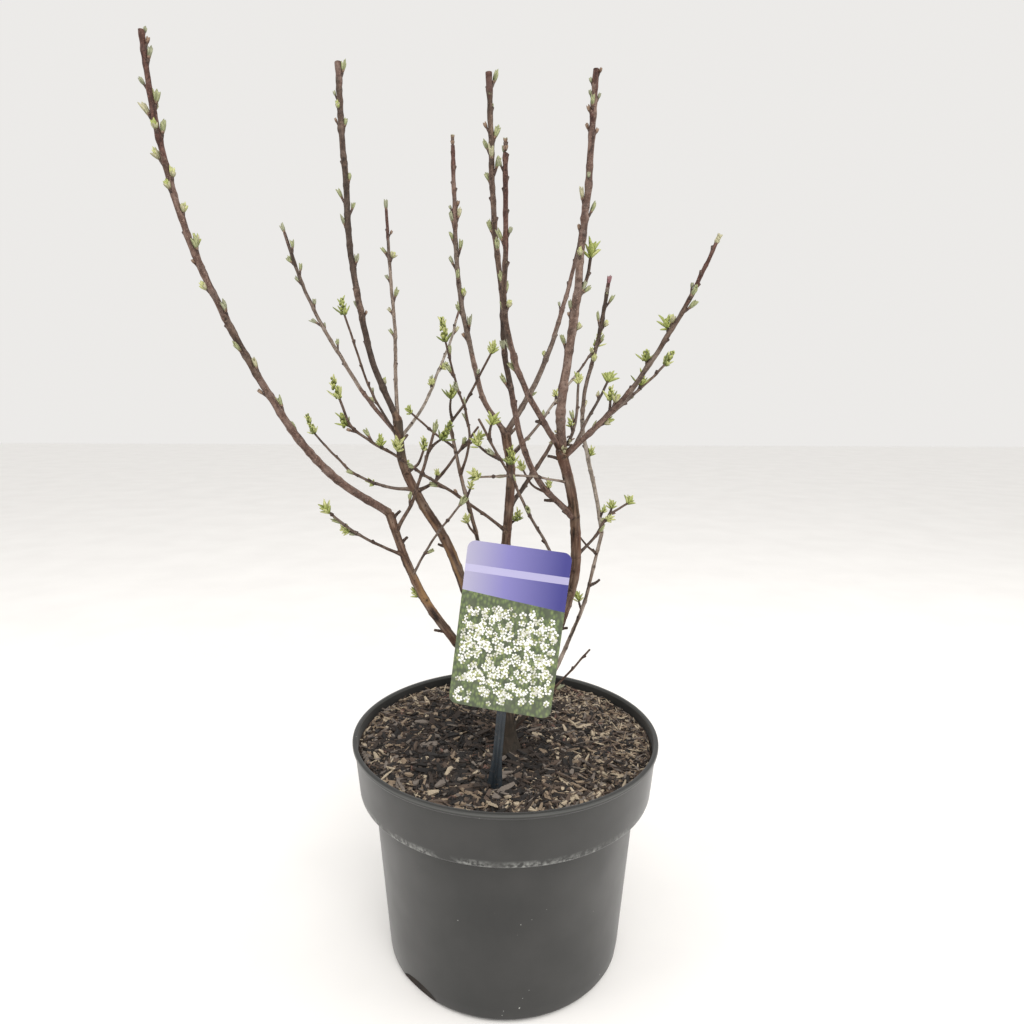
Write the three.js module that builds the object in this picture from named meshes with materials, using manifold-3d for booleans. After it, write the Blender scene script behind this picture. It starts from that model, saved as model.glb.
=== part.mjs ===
// A potted pearl bush: a shrub of six stems from one short trunk, bare but for its first tufts
// of leaves, in a round nursery pot with a picture label on a stake.
// Millimetres, +Z up, +Y to the back. The origin is the middle of the pot's flat underside.

import * as THREE from 'three';
import { mergeVertices } from 'three/addons/utils/BufferGeometryUtils.js';
import Module from 'manifold-3d';

const wasm = await Module();
wasm.setup();

const clearance = 0.3; // between neighbouring pieces
const degree = Math.PI / 180;

// Pot: a tapered tub under a wider collar with a rolled lip
const potHeight = 197.3;
const lipRadius = 128;
const lipHeight = 5;
const lipRound = 1.3;
const collarTopRadius = 125;
const collarFootRadius = 123;
const collarFoot = 152;
const tubTopRadius = 111.5;
const tubFootRadius = 102;
const footRadius = 98.5;
const footRound = 3.5;
const potWall = 2;
const potFloor = 3;
const potEdge = 1; // slope of the collar's foot and of the lip's underside
const potSides = 48;

// Drain mouths: low arches cut in the pot's foot
const drainCount = 3;
const drainFirst = -138 * degree;
const drainWidth = 27;
const drainHeight = 10;
const drainDepth = 12;
const drainSides = 20;

// Soil, slightly domed
const soilMiddle = 188;
const soilEdge = 186;
const soilBrow = [0.7, 0.55]; // where the dome bends: share of the radius, share of the rise
const soilFlat = 0.35; // the flat middle's share of the radius

// Label: a card on a flat stake that is pushed into the soil
const stakeFoot = new THREE.Vector3(-9, -79, 187);
const labelTilt = 8 * degree;
const labelTurn = -8 * degree;
const stakeRoll = -4 * degree;
const stakeWidth = 7;
const stakeFootWidth = 12;
const stakeFlareTop = 24;
const stakeThick = 2.4;
const stakeLength = 150;
const stakeSunk = 40;
const stakePointWidth = 2;
const stakePointLength = 12;
const stakeHeadWidth = 30;
const stakeHeadFoot = 96;
const stakeHeadSlope = 5;
const cardRoll = -6 * degree;
const cardWidth = 76;
const cardHeight = 122;
const cardThick = 0.8;
const cardCorner = 6;
const cardCornerSteps = 5;
const cardMiddle = 121; // height of the card's middle up the stake

// Twigs: buds on a spiral along each one, and tufts of leaves on short spurs
const budPitch = 26;
const budLength = 6.5;
const budWidth = 2.6;
const budLean = 27 * degree;
const budSeat = 0.8; // share of the twig's radius at which a bud is rooted
const endBudGain = 1.3; // size of the bud at a twig's end against the others
const goldenTurn = 137.5 * degree;
const footBare = 14; // length without buds above a limb's foot
const spurLean = 42 * degree;
const spurThick = 1.6;
const spurRise = 0.3; // how much a spur turns up
const spurFan = 80 * degree;
const tuftLeaves = 3;
const leafLength = 10;
const leafWidth = 4;
const leafThick = 1.2;
const leafLean = 30 * degree;
const leafSpread = 0.3; // how much the leaves of a tuft differ in length and in lean
const middleLeafGain = 1.3; // length and thickness of a tuft's middle leaf against the others
const leafStep = 1.6; // from one leaf of a tuft down to the next
const sunk = 1.2; // length of a bud or a leaf inside what carries it

// How many sides and rings a limb's solid has
const trunkSides = 12;
const boughSides = 8;
const twigSides = 5;
const thinSides = 4;
const thin = 3; // the foot's diameter under which a twig has fewer sides
const spurSides = 3;
const ringPitch = 28;
const rodPitch = 8; // steps in which the room that a limb takes is kept

// Limbs, each after the one that carries it. on, at: that limb and the share of its length.
// tip: where it ends. bow: how far it stands to its right of a straight line, at even shares.
// back: how far its middle stands to the back. thick: diameter at foot and tip.
// tufts: [share of its length, reach], with minus for its left. end: bud or tuft, or else cut.
// node: a solid of its own; a limb without one is fused to the limb that carries it.
const limbs = {
  trunk: { node: 'trunk', tip: [-1, -15, 226], thick: [16, 13.5] },
  left: { node: 'bough_left', on: 'trunk', at: 1, tip: [-87, -40, 388], bow: [-2, -7, -10, -7],
    back: -6, thick: [8, 6] },
  inner: { node: 'bough_inner', on: 'trunk', at: 1, tip: [-88, 22, 454],
    bow: [1, 1, 2, 1, -6, -9], back: 8, thick: [9.4, 7.2] },
  centre: { node: 'bough_centre', on: 'trunk', at: 1, tip: [-1, 2, 444],
    bow: [0, 0, -1, 0, 1, 3, 4], thick: [8.4, 7] },
  right: { node: 'bough_right', on: 'trunk', at: 1, tip: [39, -35, 433],
    bow: [17, 26, 30, 31, 25, 15], thick: [9, 7.6] },
  slim: { node: 'bough_slim', on: 'trunk', at: 1, tip: [-44, -8, 452], bow: [2, 3, 4, 1],
    thick: [4.6, 2.8] },
  rear: { node: 'bough_rear', on: 'trunk', at: 0.32, tip: [82, 34, 360],
    bow: [13, 17, 17, 15, 8], back: 14, thick: [4.2, 3] },

  leftWhip: { node: 'twigs_left_whip', on: 'left', at: 1, tip: [-211, -95, 673],
    bow: [-20, -30, -33, -34, -33, -30, -23, -13], back: -14, thick: [6.8, 3.3] },
  leftUpright: { node: 'twigs_left_upright', on: 'left', at: 0.92, tip: [-51, -68, 447],
    bow: [3, 2], thick: [2.8, 2], tufts: [[0.84, 16]], end: 'bud' },
  leftLow: { node: 'twigs_left_low', on: 'left', at: 0.82, tip: [-124, -73, 394], bow: [-3, -3],
    thick: [2.5, 1.6], tufts: [[0.6, -11]], end: 'tuft' },
  leftFine: { node: 'twigs_left_fine', on: 'left', at: 0.73, tip: [-33, -82, 400], bow: [-2],
    thick: [1.9, 1.5], end: 'bud' },

  innerWhip: { node: 'twigs_inner_whip', on: 'inner', at: 1, tip: [-134, 70, 729],
    bow: [-12, -15, -15, -10, -6], thick: [5.4, 4.6] },
  innerDark: { node: 'twigs_inner_dark', on: 'inner', at: 0.94, tip: [-121, -8, 531],
    bow: [-3, -5, -4, -2], thick: [2.1, 1.6], end: 'tuft' },
  innerStraight: { on: 'innerWhip', at: 0, tip: [-106, 113, 634], bow: [-1, 0, -1, -1], back: 14,
    thick: [3.2, 2.7], end: 'bud' },
  innerOuter: { node: 'twigs_inner_outer', on: 'inner', at: 0.95, tip: [-201, 128, 618],
    bow: [-9, -12, -13, -9], back: 12, thick: [3.6, 2.9], end: 'bud' },
  innerPale: { node: 'twigs_inner_pale', on: 'inner', at: 0.94, tip: [-43, 117, 550],
    bow: [6, 5, 4], back: 8, thick: [2.7, 2.1], tufts: [[0.4, -6], [0.53, 8]], end: 'bud' },
  innerLow: { node: 'twigs_inner_low', on: 'inner', at: 0.77, tip: [-164, 54, 442],
    bow: [-7, -11, -13, -13, -9, -5], thick: [2.8, 1.8], tufts: [[0.31, -8], [0.88, 14]],
    end: 'tuft' },
  innerBroken: { node: 'twigs_inner_broken', on: 'inner', at: 0.76, tip: [-23, 30, 449],
    bow: [5, 5, 3, 2], thick: [2.8, 1.8], tufts: [[0.26, -8], [0.7, 18]] },
  innerSpur: { node: 'twigs_inner_spur', on: 'inner', at: 0.83, tip: [-66, 8, 431], bow: [3],
    thick: [2.6, 2], end: 'tuft' },

  slimTop: { node: 'twigs_slim_top', on: 'slim', at: 1, tip: [-12, -19, 504], bow: [2, 1],
    thick: [2.1, 1.6], tufts: [[0.06, -20]], end: 'tuft' },
  slimSide: { node: 'twigs_slim_side', on: 'slim', at: 0.92, tip: [-71, -33, 461], bow: [-1],
    thick: [1.9, 1.5], end: 'tuft' },
  slimFront: { node: 'twigs_slim_front', on: 'slim', at: 0.83, tip: [-44, -44, 509],
    bow: [7, 10, 9, 5, 2], thick: [2.1, 1.5], end: 'tuft' },
  slimLow: { node: 'twigs_slim_low', on: 'slim', at: 0.62, tip: [-31, -16, 378], bow: [-1],
    thick: [1.8, 1.5], end: 'tuft' },

  centreLong: { node: 'twigs_centre_long', on: 'centre', at: 0.65, tip: [-116, -59, 470],
    bow: [0, -1, -2, -4, -6, -7, -10, -10], thick: [2.6, 1.8],
    tufts: [[0.64, 11], [0.73, 6], [0.87, -10]], end: 'tuft' },
  centreLeft: { node: 'twigs_centre_left', on: 'centre', at: 1, tip: [-40, -5, 651],
    bow: [-12, -14, -15, -14, -10, -5], thick: [4.2, 3.1] },
  centreRight: { node: 'twigs_centre_right', on: 'centre', at: 1, tip: [67, 108, 618],
    bow: [7, 10, 8, 5], back: 12, thick: [4.7, 3.2], end: 'bud' },
  centrePale: { node: 'twigs_centre_pale', on: 'centre', at: 0.92, tip: [84, 122, 520],
    bow: [3, 2, 2], back: 8, thick: [2.6, 1.9], tufts: [[0.49, -8]], end: 'tuft' },
  centreDark: { node: 'twigs_centre_dark', on: 'centre', at: 0.74, tip: [42, 60, 438],
    bow: [1, 1], thick: [3.8, 3.2] },

  rightWhip: { node: 'twigs_right_whip', on: 'right', at: 1, tip: [55, -40, 678],
    bow: [-3, -1, 1, 1, 2, 1], thick: [6.6, 4] },
  rightWhipSide: { on: 'rightWhip', at: 0.42, tip: [56, -36, 566], bow: [2], thick: [2, 1.6],
    end: 'tuft' },
  rightFront: { node: 'twigs_right_front', on: 'right', at: 1, tip: [-4, -108, 606],
    bow: [-9, -17, -20, -19, -12, -6], back: -8, thick: [4.4, 2.8], end: 'bud' },
  rightCross: { node: 'twigs_right_cross', on: 'right', at: 0.78, tip: [-14, -70, 663],
    bow: [-20, -27, -27, -26, -20, -17, -12, -6], back: -6, thick: [4.5, 3.2],
    tufts: [[0.08, 8]] },
  rightCrossSide: { on: 'rightCross', at: 0.08, tip: [11, -31, 420], bow: [-4],
    thick: [1.8, 1.5], end: 'tuft' },
  rightShort: { node: 'twigs_right_short', on: 'right', at: 1, tip: [54, -2, 483],
    bow: [4, 5, 4, 2], thick: [2.6, 2], tufts: [[0.32, -9]], end: 'tuft' },
  rightArm: { node: 'twigs_right_arm', on: 'right', at: 0.98, tip: [123, -98, 562],
    bow: [6, 10, 9, 6], back: -8, thick: [4.4, 2.2], tufts: [[0.27, -12], [0.5, -8], [0.64, -9]],
    end: 'bud' },
  rightArmBack: { on: 'rightArm', at: 0.07, tip: [85, 52, 486], bow: [-1, 0], thick: [2.9, 2.1],
    end: 'tuft' },
  rightArmSide: { on: 'rightArm', at: 0.24, tip: [114, -22, 495], bow: [1, 1, 1],
    thick: [2.4, 1.8], tufts: [[0.56, -7]], end: 'tuft' },
  rightLevel: { node: 'twigs_right_level', on: 'right', at: 0.9, tip: [-21, -73, 418], bow: [3],
    thick: [1.8, 1.5], end: 'tuft' },
  rightHook: { node: 'twigs_right_hook', on: 'right', at: 0.5, tip: [-20, -85, 457],
    bow: [1, 1, 0, 1, 0], thick: [2.5, 1.6], tufts: [[0.7, 13], [0.8, -22], [0.9, 15]] },
  rightLow: { node: 'twigs_right_low', on: 'right', at: 0.64, tip: [100, 18, 388], bow: [0, -4],
    thick: [2.5, 1.8], tufts: [[0.58, 6], [0.68, -11]], end: 'tuft' },

  rearTop: { node: 'twigs_rear_top', on: 'rear', at: 1, tip: [84, 62, 565],
    bow: [-5, -12, -18, -17, -10, -4], back: 4, thick: [3.3, 2.6], tufts: [[0.06, 10], [0.3, 8]],
    end: 'bud' },
  rearSide: { node: 'twigs_rear_side', on: 'rear', at: 0.9, tip: [63, 32, 357], bow: [-1],
    thick: [1.9, 1.5], end: 'bud' },
  lowShoot: { node: 'twigs_low_shoot', on: 'trunk', at: 0.28, tip: [68, -15, 273], bow: [1, 1],
    thick: [2.3, 1.7] },
};
const trunkFoot = [2, -21, 188 + clearance];
const trunkFlare = 0.45;
const trunkFlareHeight = 0.22;
const knob = 0.14; // a bough's swelling at its tip, and the share of its length that it fills
const knobLength = 0.05;

const colours = {
  pot: { color: 0x4b4c4b, roughness: 0.5, metalness: 0 },
  soil: { color: 0x4a382c, roughness: 1, metalness: 0 },
  bark: { color: 0x7a5c4a, roughness: 0.85, metalness: 0 },
  twig: { color: 0x8a7460, roughness: 0.85, metalness: 0 },
  stake: { color: 0x22282f, roughness: 0.5, metalness: 0 },
  card: { color: 0x8f87c8, roughness: 0.3, metalness: 0 },
};

// Repeatable chance: an even series between 0 and 1 for each limb
function dice(seed) {
  let state = (seed * 7919) % 2147483647;
  return () => {
    state = (state * 48271) % 2147483647;
    return state / 2147483647;
  };
}

function solidOf(geometry) {
  const bare = geometry.clone();
  bare.deleteAttribute('normal');
  bare.deleteAttribute('uv');
  const merged = mergeVertices(bare, 1e-4);
  const mesh = new wasm.Mesh({
    numProp: 3,
    vertProperties: new Float32Array(merged.attributes.position.array),
    triVerts: new Uint32Array(merged.index.array),
  });
  return new wasm.Manifold(mesh);
}

function geometryOf(solid) {
  const mesh = solid.getMesh();
  const geometry = new THREE.BufferGeometry();
  geometry.setAttribute('position', new THREE.BufferAttribute(mesh.vertProperties, 3));
  geometry.setIndex(new THREE.BufferAttribute(mesh.triVerts, 1));
  geometry.computeVertexNormals();
  return geometry;
}

function piece(name, geometry, colour) {
  const mesh = new THREE.Mesh(geometry, new THREE.MeshStandardMaterial(colours[colour]));
  mesh.name = name;
  return mesh;
}

// Pot and soil

function potInside() {
  return [
    [collarTopRadius - potWall, potHeight - lipHeight],
    [collarFootRadius - potWall, collarFoot + potWall],
    [tubTopRadius - potWall, collarFoot + potWall - potEdge],
    [tubFootRadius - potWall, potFloor + footRound],
    [footRadius - potWall, potFloor],
  ];
}

function lathe(profile, sides) {
  const points = profile.map(([radius, height]) => new THREE.Vector2(radius, height));
  return new THREE.LatheGeometry(points, sides).rotateX(Math.PI / 2);
}

function drainMouth(turn) {
  const middle = footRadius + footRound - drainDepth / 2;
  const cutter = new THREE.CylinderGeometry(1, 1, drainDepth, drainSides);
  cutter.scale(drainWidth / 2, 1, drainHeight);
  cutter.translate(0, middle, 0);
  cutter.rotateZ(turn - Math.PI / 2);
  return solidOf(cutter);
}

function pot() {
  const outside = [
    [0, 0],
    [footRadius, 0],
    [tubFootRadius - footRound / 4, footRound / 4],
    [tubFootRadius, footRound],
    [tubTopRadius, collarFoot - potEdge],
    [collarFootRadius - potEdge, collarFoot],
    [collarFootRadius, collarFoot + potEdge],
    [collarTopRadius, potHeight - lipHeight - potEdge],
    [lipRadius, potHeight - lipHeight],
    [lipRadius, potHeight - lipRound],
    [lipRadius - lipRound, potHeight],
    [collarTopRadius - lipRound, potHeight],
  ];
  let solid = solidOf(lathe([...outside, ...potInside(), [0, potFloor]], potSides));
  for (let k = 0; k < drainCount; k += 1) {
    solid = solid.subtract(drainMouth(drainFirst + (k * 2 * Math.PI) / drainCount));
  }
  return piece('pot', geometryOf(solid), 'pot');
}

function soilSolid() {
  const [mouth, ledge, shoulder, corner, floor] = potInside();
  const wallShare = (soilEdge - ledge[1]) / (mouth[1] - ledge[1]);
  const edge = THREE.MathUtils.lerp(ledge[0], mouth[0], wallShare);
  const profile = [
    [0, floor[1] + clearance],
    [floor[0] - clearance, floor[1] + clearance],
    [corner[0] - clearance, corner[1]],
    [shoulder[0] - clearance, shoulder[1] + clearance],
    [ledge[0] - clearance, ledge[1] + clearance],
    [edge - clearance, soilEdge],
    [edge * soilBrow[0], THREE.MathUtils.lerp(soilEdge, soilMiddle, soilBrow[1])],
    [edge * soilFlat, soilMiddle],
    [0, soilMiddle],
  ];
  return solidOf(lathe(profile, potSides));
}

// Label

function roundedCard(width, height, radius) {
  const [x, y] = [width / 2, height / 2];
  const shape = new THREE.Shape();
  shape.absarc(x - radius, y - radius, radius, 0, Math.PI / 2);
  shape.absarc(-x + radius, y - radius, radius, Math.PI / 2, Math.PI);
  shape.absarc(-x + radius, -y + radius, radius, Math.PI, 1.5 * Math.PI);
  shape.absarc(x - radius, -y + radius, radius, 1.5 * Math.PI, 2 * Math.PI);
  return shape;
}

// The stake's outline on its right side, from its point in the soil to its head
function stakeGeometry(grow) {
  const side = [
    [stakePointWidth / 2, -stakeSunk],
    [stakeWidth / 2, -stakeSunk + stakePointLength],
    [stakeFootWidth / 2, 0],
    [stakeWidth / 2, stakeFlareTop],
    [stakeWidth / 2, stakeHeadFoot],
    [stakeHeadWidth / 2, stakeHeadFoot + stakeHeadSlope],
    [stakeHeadWidth / 2, stakeLength],
  ];
  const shape = new THREE.Shape();
  shape.moveTo(side[0][0] + grow, side[0][1] - grow);
  side.slice(1).forEach(([x, y]) => shape.lineTo(x + grow, y));
  [...side].reverse().slice(0, -1).forEach(([x, y]) => shape.lineTo(-x - grow, y));
  shape.lineTo(-side[0][0] - grow, side[0][1] - grow);
  shape.closePath();
  const depth = stakeThick + 2 * grow;
  return new THREE.ExtrudeGeometry(shape, { depth, bevelEnabled: false })
    .translate(0, 0, -depth / 2)
    .rotateZ(stakeRoll);
}

function label() {
  const group = new THREE.Group();
  group.position.copy(stakeFoot);
  group.rotation.set(Math.PI / 2 - labelTilt, 0, labelTurn, 'ZXY');
  const cardShape = roundedCard(cardWidth, cardHeight, cardCorner);
  const cardGeometry = new THREE.ExtrudeGeometry(cardShape, {
    depth: cardThick,
    bevelEnabled: false,
    curveSegments: cardCornerSteps,
  });
  const card = piece('label_card', cardGeometry, 'card');
  card.rotation.z = cardRoll;
  card.position.set(
    -Math.sin(stakeRoll) * cardMiddle,
    Math.cos(stakeRoll) * cardMiddle,
    stakeThick / 2 + clearance,
  );
  group.add(piece('label_stake', stakeGeometry(0), 'stake'), card);
  group.updateMatrixWorld(true);
  return group;
}

function soil(labelGroup) {
  const pocket = stakeGeometry(clearance).applyMatrix4(labelGroup.matrixWorld);
  return piece('soil', geometryOf(soilSolid().subtract(solidOf(pocket))), 'soil');
}

// Limbs

function centreline(foot, { tip, bow = [0], back = 0 }) {
  const end = new THREE.Vector3(...tip);
  const reach = end.clone().sub(foot);
  const right = new THREE.Vector3(reach.z, 0, -reach.x).normalize();
  const stations = bow.map((camber, k) => {
    const share = (k + 1) / (bow.length + 1);
    const station = foot.clone().addScaledVector(reach, share).addScaledVector(right, camber);
    station.y += back * 4 * share * (1 - share);
    return station;
  });
  return new THREE.CatmullRomCurve3([foot, ...stations, end], false, 'catmullrom', 0.5);
}

function frameAt(curve, share) {
  const along = curve.getTangent(share);
  const right = new THREE.Vector3(along.z, 0, -along.x).normalize();
  const away = along.clone().cross(right);
  return { point: curve.getPoint(share), along, right, away };
}

function radiusAt(limb, share) {
  const plain = THREE.MathUtils.lerp(limb.thick[0], limb.thick[1], share) / 2;
  if (limb.name === 'trunk') return plain * (1 + trunkFlare * Math.exp(-share / trunkFlareHeight));
  if (!limb.isBough) return plain;
  return plain * (1 + knob * Math.exp(-(((1 - share) / knobLength) ** 2)));
}

// A cylinder whose rings are moved onto the limb's centreline and scaled to its thickness
function tube(limb, sides, grow = 0) {
  const rings = Math.floor(limb.curve.getLength() / ringPitch) + 1;
  const geometry = new THREE.CylinderGeometry(1, 1, 1, sides, rings);
  const position = geometry.attributes.position;
  const vertex = new THREE.Vector3();
  for (let k = 0; k < position.count; k += 1) {
    vertex.fromBufferAttribute(position, k);
    const share = THREE.MathUtils.clamp(vertex.y + 0.5, 0, 1);
    const { point, along, right, away } = frameAt(limb.curve, share);
    const radius = radiusAt(limb, share) + grow / Math.cos(Math.PI / sides);
    point.addScaledVector(right, vertex.x * radius).addScaledVector(away, -vertex.z * radius);
    if (share === 1) point.addScaledVector(along, grow);
    if (limb.name === 'trunk' && share === 0) point.z = trunkFoot[2];
    position.setXYZ(k, ...point.toArray());
  }
  return solidOf(geometry);
}

function growLimbs() {
  const grown = {};
  Object.entries(limbs).forEach(([name, sizes], order) => {
    const carrier = grown[sizes.on];
    const foot = carrier ? carrier.curve.getPoint(sizes.at) : new THREE.Vector3(...trunkFoot);
    const node = sizes.node ?? carrier.node;
    const isBough = node.startsWith('bough') || name === 'trunk';
    grown[name] = { ...sizes, name, node, order, isBough, curve: centreline(foot, sizes) };
  });
  return grown;
}

const limbList = Object.values(growLimbs());

// The room that limbs, spurs, buds and leaves take: rods from a to b with a radius
const taken = [];

function takeLimb(limb) {
  const count = Math.max(3, Math.round(limb.curve.getLength() / rodPitch));
  for (let k = 0; k < count; k += 1) {
    const [from, to] = [k / count, (k + 1) / count];
    taken.push({
      a: limb.curve.getPoint(from),
      b: limb.curve.getPoint(to),
      radius: radiusAt(limb, from),
      node: limb.node,
    });
  }
}

function closest(p, q) {
  const u = p.b.clone().sub(p.a);
  const v = q.b.clone().sub(q.a);
  const w = p.a.clone().sub(q.a);
  const [uu, uv, vv, uw, vw] = [u.dot(u), u.dot(v), v.dot(v), u.dot(w), v.dot(w)];
  const clamp = (value) => THREE.MathUtils.clamp(value, 0, 1);
  const det = uu * vv - uv * uv;
  let s = det > 1e-9 ? clamp((uv * vw - vv * uw) / det) : 0;
  const t = clamp((uv * s + vw) / vv);
  s = clamp((uv * t - uw) / uu);
  return w.addScaledVector(u, s).addScaledVector(v, -t).length();
}

function isClear(rod) {
  return taken.every((other) => {
    if (other.node === rod.node) return true;
    return closest(rod, other) > rod.radius + other.radius + clearance;
  });
}

function rod(a, b, radius, node) {
  return { a: a.clone(), b: b.clone(), radius, node };
}

// An eight-faced bud or leaf from its root along a direction
function blade(root, direction, length, width, thick, roll) {
  const shape = new THREE.OctahedronGeometry(1, 0);
  shape.scale(width / 2, length / 2, thick / 2);
  shape.rotateY(roll);
  shape.translate(0, length / 2 - sunk, 0);
  const turn = new THREE.Quaternion().setFromUnitVectors(new THREE.Vector3(0, 1, 0), direction);
  shape.applyQuaternion(turn);
  shape.translate(root.x, root.y, root.z);
  return solidOf(shape);
}

function addBlade(found, node, root, direction, [length, width, thick], roll) {
  const end = root.clone().addScaledVector(direction, length - sunk);
  const space = rod(root, end, width / 2, node);
  if (!isClear(space)) return;
  taken.push(space);
  found.push(blade(root, direction, length, width, thick, roll));
}

function leaning(frame, lean, turn) {
  const side = frame.right.clone().multiplyScalar(Math.cos(turn));
  side.addScaledVector(frame.away, Math.sin(turn));
  return frame.along.clone().multiplyScalar(Math.cos(lean)).addScaledVector(side, Math.sin(lean));
}

function spread(roll) {
  return 1 + leafSpread * (2 * roll() - 1);
}

// Leaves round the end of a shoot
function tuft(found, node, point, along, roll) {
  const right = new THREE.Vector3(along.z, 0, -along.x).normalize();
  const frame = { along, right, away: along.clone().cross(right) };
  const middle = [leafLength * middleLeafGain, leafWidth, leafThick * middleLeafGain];
  addBlade(found, node, point, along, middle, roll());
  for (let k = 0; k < tuftLeaves; k += 1) {
    const turn = (k / tuftLeaves + 0.1 * roll()) * 2 * Math.PI;
    const direction = leaning(frame, leafLean * spread(roll), turn);
    const length = leafLength * spread(roll);
    const root = point.clone().addScaledVector(along, -leafStep * (k + 1));
    addBlade(found, node, root, direction, [length, leafWidth, leafThick], turn);
  }
}

function spurs(found, limb, roll) {
  (limb.tufts ?? []).forEach(([share, reach]) => {
    const frame = frameAt(limb.curve, share);
    const turn = (reach > 0 ? 0 : Math.PI) + (roll() - 0.5) * spurFan;
    const direction = leaning(frame, spurLean, turn);
    direction.z += spurRise;
    direction.normalize();
    const bare = Math.max(spurThick, Math.abs(reach) - leafLength / 2);
    const length = bare + radiusAt(limb, share);
    const end = frame.point.clone().addScaledVector(direction, length);
    const curve = new THREE.LineCurve3(frame.point, end);
    const spur = { name: 'spur', thick: [spurThick, spurThick], curve };
    const space = rod(frame.point, end, spurThick / 2, limb.node);
    if (!isClear(space)) return;
    taken.push(space);
    found.push(tube(spur, spurSides));
    tuft(found, limb.node, end, direction, roll);
  });
}

function buds(found, limb, roll) {
  const length = limb.curve.getLength();
  const first = roll() * 2 * Math.PI;
  const count = Math.floor((length - footBare) / budPitch);
  for (let k = 0; k < count; k += 1) {
    const share = (footBare + (k + 0.5) * budPitch) / length;
    const frame = frameAt(limb.curve, share);
    const turn = first + k * goldenTurn;
    const direction = leaning(frame, budLean, turn);
    const out = leaning(frame, Math.PI / 2, turn);
    const root = frame.point.clone().addScaledVector(out, radiusAt(limb, share) * budSeat);
    addBlade(found, limb.node, root, direction, [budLength, budWidth, budWidth], turn);
  }
}

function tipOf(found, limb, roll) {
  const { point, along } = frameAt(limb.curve, 1);
  if (limb.end === 'tuft') tuft(found, limb.node, point, along, roll);
  if (limb.end === 'bud') {
    const sizes = [budLength, budWidth, budWidth].map((size) => size * endBudGain);
    addBlade(found, limb.node, point, along, sizes, 0);
  }
}

function sidesOf(limb) {
  if (limb.name === 'trunk') return trunkSides;
  if (limb.isBough) return boughSides;
  return limb.thick[0] < thin ? thinSides : twigSides;
}

function overlaps(one, other) {
  const [a, b] = [one.boundingBox(), other.boundingBox()];
  return [0, 1, 2].every((axis) => a.min[axis] < b.max[axis] && b.min[axis] < a.max[axis]);
}

function largest(solid) {
  return solid.decompose().reduce((best, part) => (part.volume() > best.volume() ? part : best));
}

// Trunk, boughs and masses of twigs, each cut clear of all those before it
function plant() {
  const group = new THREE.Group();
  const cutters = [];
  limbList.forEach(takeLimb);
  const nodes = [...new Set(limbList.map((limb) => limb.node))];
  nodes.forEach((node) => {
    const members = limbList.filter((limb) => limb.node === node);
    const found = members.map((limb) => tube(limb, sidesOf(limb)));
    members.filter((limb) => !limb.isBough).forEach((limb) => {
      const roll = dice(limb.order + 1);
      tipOf(found, limb, roll);
      spurs(found, limb, roll);
      buds(found, limb, roll);
    });
    let solid = found.reduce((whole, part) => whole.add(part));
    cutters.filter((cutter) => overlaps(cutter, solid)).forEach((cutter) => {
      solid = solid.subtract(cutter);
    });
    const colour = members[0].isBough ? 'bark' : 'twig';
    group.add(piece(node, geometryOf(largest(solid)), colour));
    members.forEach((limb) => cutters.push(tube(limb, sidesOf(limb), clearance)));
  });
  return group;
}

const group = new THREE.Group();
const labelGroup = label();
group.add(pot(), soil(labelGroup), labelGroup, plant());

export default group;
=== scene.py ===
# %% [markdown]
# A potted pearl bush in early spring.
#
# The shrub stands in a round nursery pot, bare but for its first buds and tufts of leaves.
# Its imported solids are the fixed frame: they say where each limb runs and how big the pot is.
# Each cell below gives one thing its looks, and nothing here moves or resizes a solid.
# Sizes are in millimetres, as on the real pot, and MM turns them into Blender's metres.

# %% The fixed frame
import math

import bmesh
import bpy
import numpy as np
from mathutils import Matrix, Vector, noise
from mathutils.kdtree import KDTree


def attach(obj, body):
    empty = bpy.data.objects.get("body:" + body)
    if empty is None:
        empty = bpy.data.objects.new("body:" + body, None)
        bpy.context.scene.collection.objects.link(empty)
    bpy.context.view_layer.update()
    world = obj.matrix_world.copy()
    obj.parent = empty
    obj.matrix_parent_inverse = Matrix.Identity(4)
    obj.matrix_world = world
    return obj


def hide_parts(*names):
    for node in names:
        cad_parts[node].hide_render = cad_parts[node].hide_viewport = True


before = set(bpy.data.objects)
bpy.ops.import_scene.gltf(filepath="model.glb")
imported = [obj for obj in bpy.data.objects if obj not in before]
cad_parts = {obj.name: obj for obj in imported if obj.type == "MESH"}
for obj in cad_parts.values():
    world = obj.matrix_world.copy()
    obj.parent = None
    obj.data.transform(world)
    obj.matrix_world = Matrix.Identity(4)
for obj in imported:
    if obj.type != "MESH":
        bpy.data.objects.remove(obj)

MM = 0.001
DEGREE = math.pi / 180
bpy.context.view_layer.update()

# %% [markdown]
# The camera stands where the photographer stood: half a metre from the pot, a little above the
# middle of the shrub and tipped down by 12 degrees. The photo is cropped off centre, so the lens
# has a small shift, which moves the picture without turning the camera.

# %% Camera
IMAGE_SIDE = 1024            # pixels
FOCAL_LENGTH = 675.2         # pixels
AXIS_PIXEL = (495.0, 555.5)  # where the lens axis meets the picture
CAMERA_PLACE = Vector((-9.1, -533.0, 464.8)) * MM
CAMERA_PITCH = 12.416 * DEGREE
CAMERA_ROLL = 0.0037


def add_object(name, data):
    """An object with this data, in the scene."""
    made = bpy.data.objects.new(name, data)
    bpy.context.scene.collection.objects.link(made)
    return made


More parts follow.
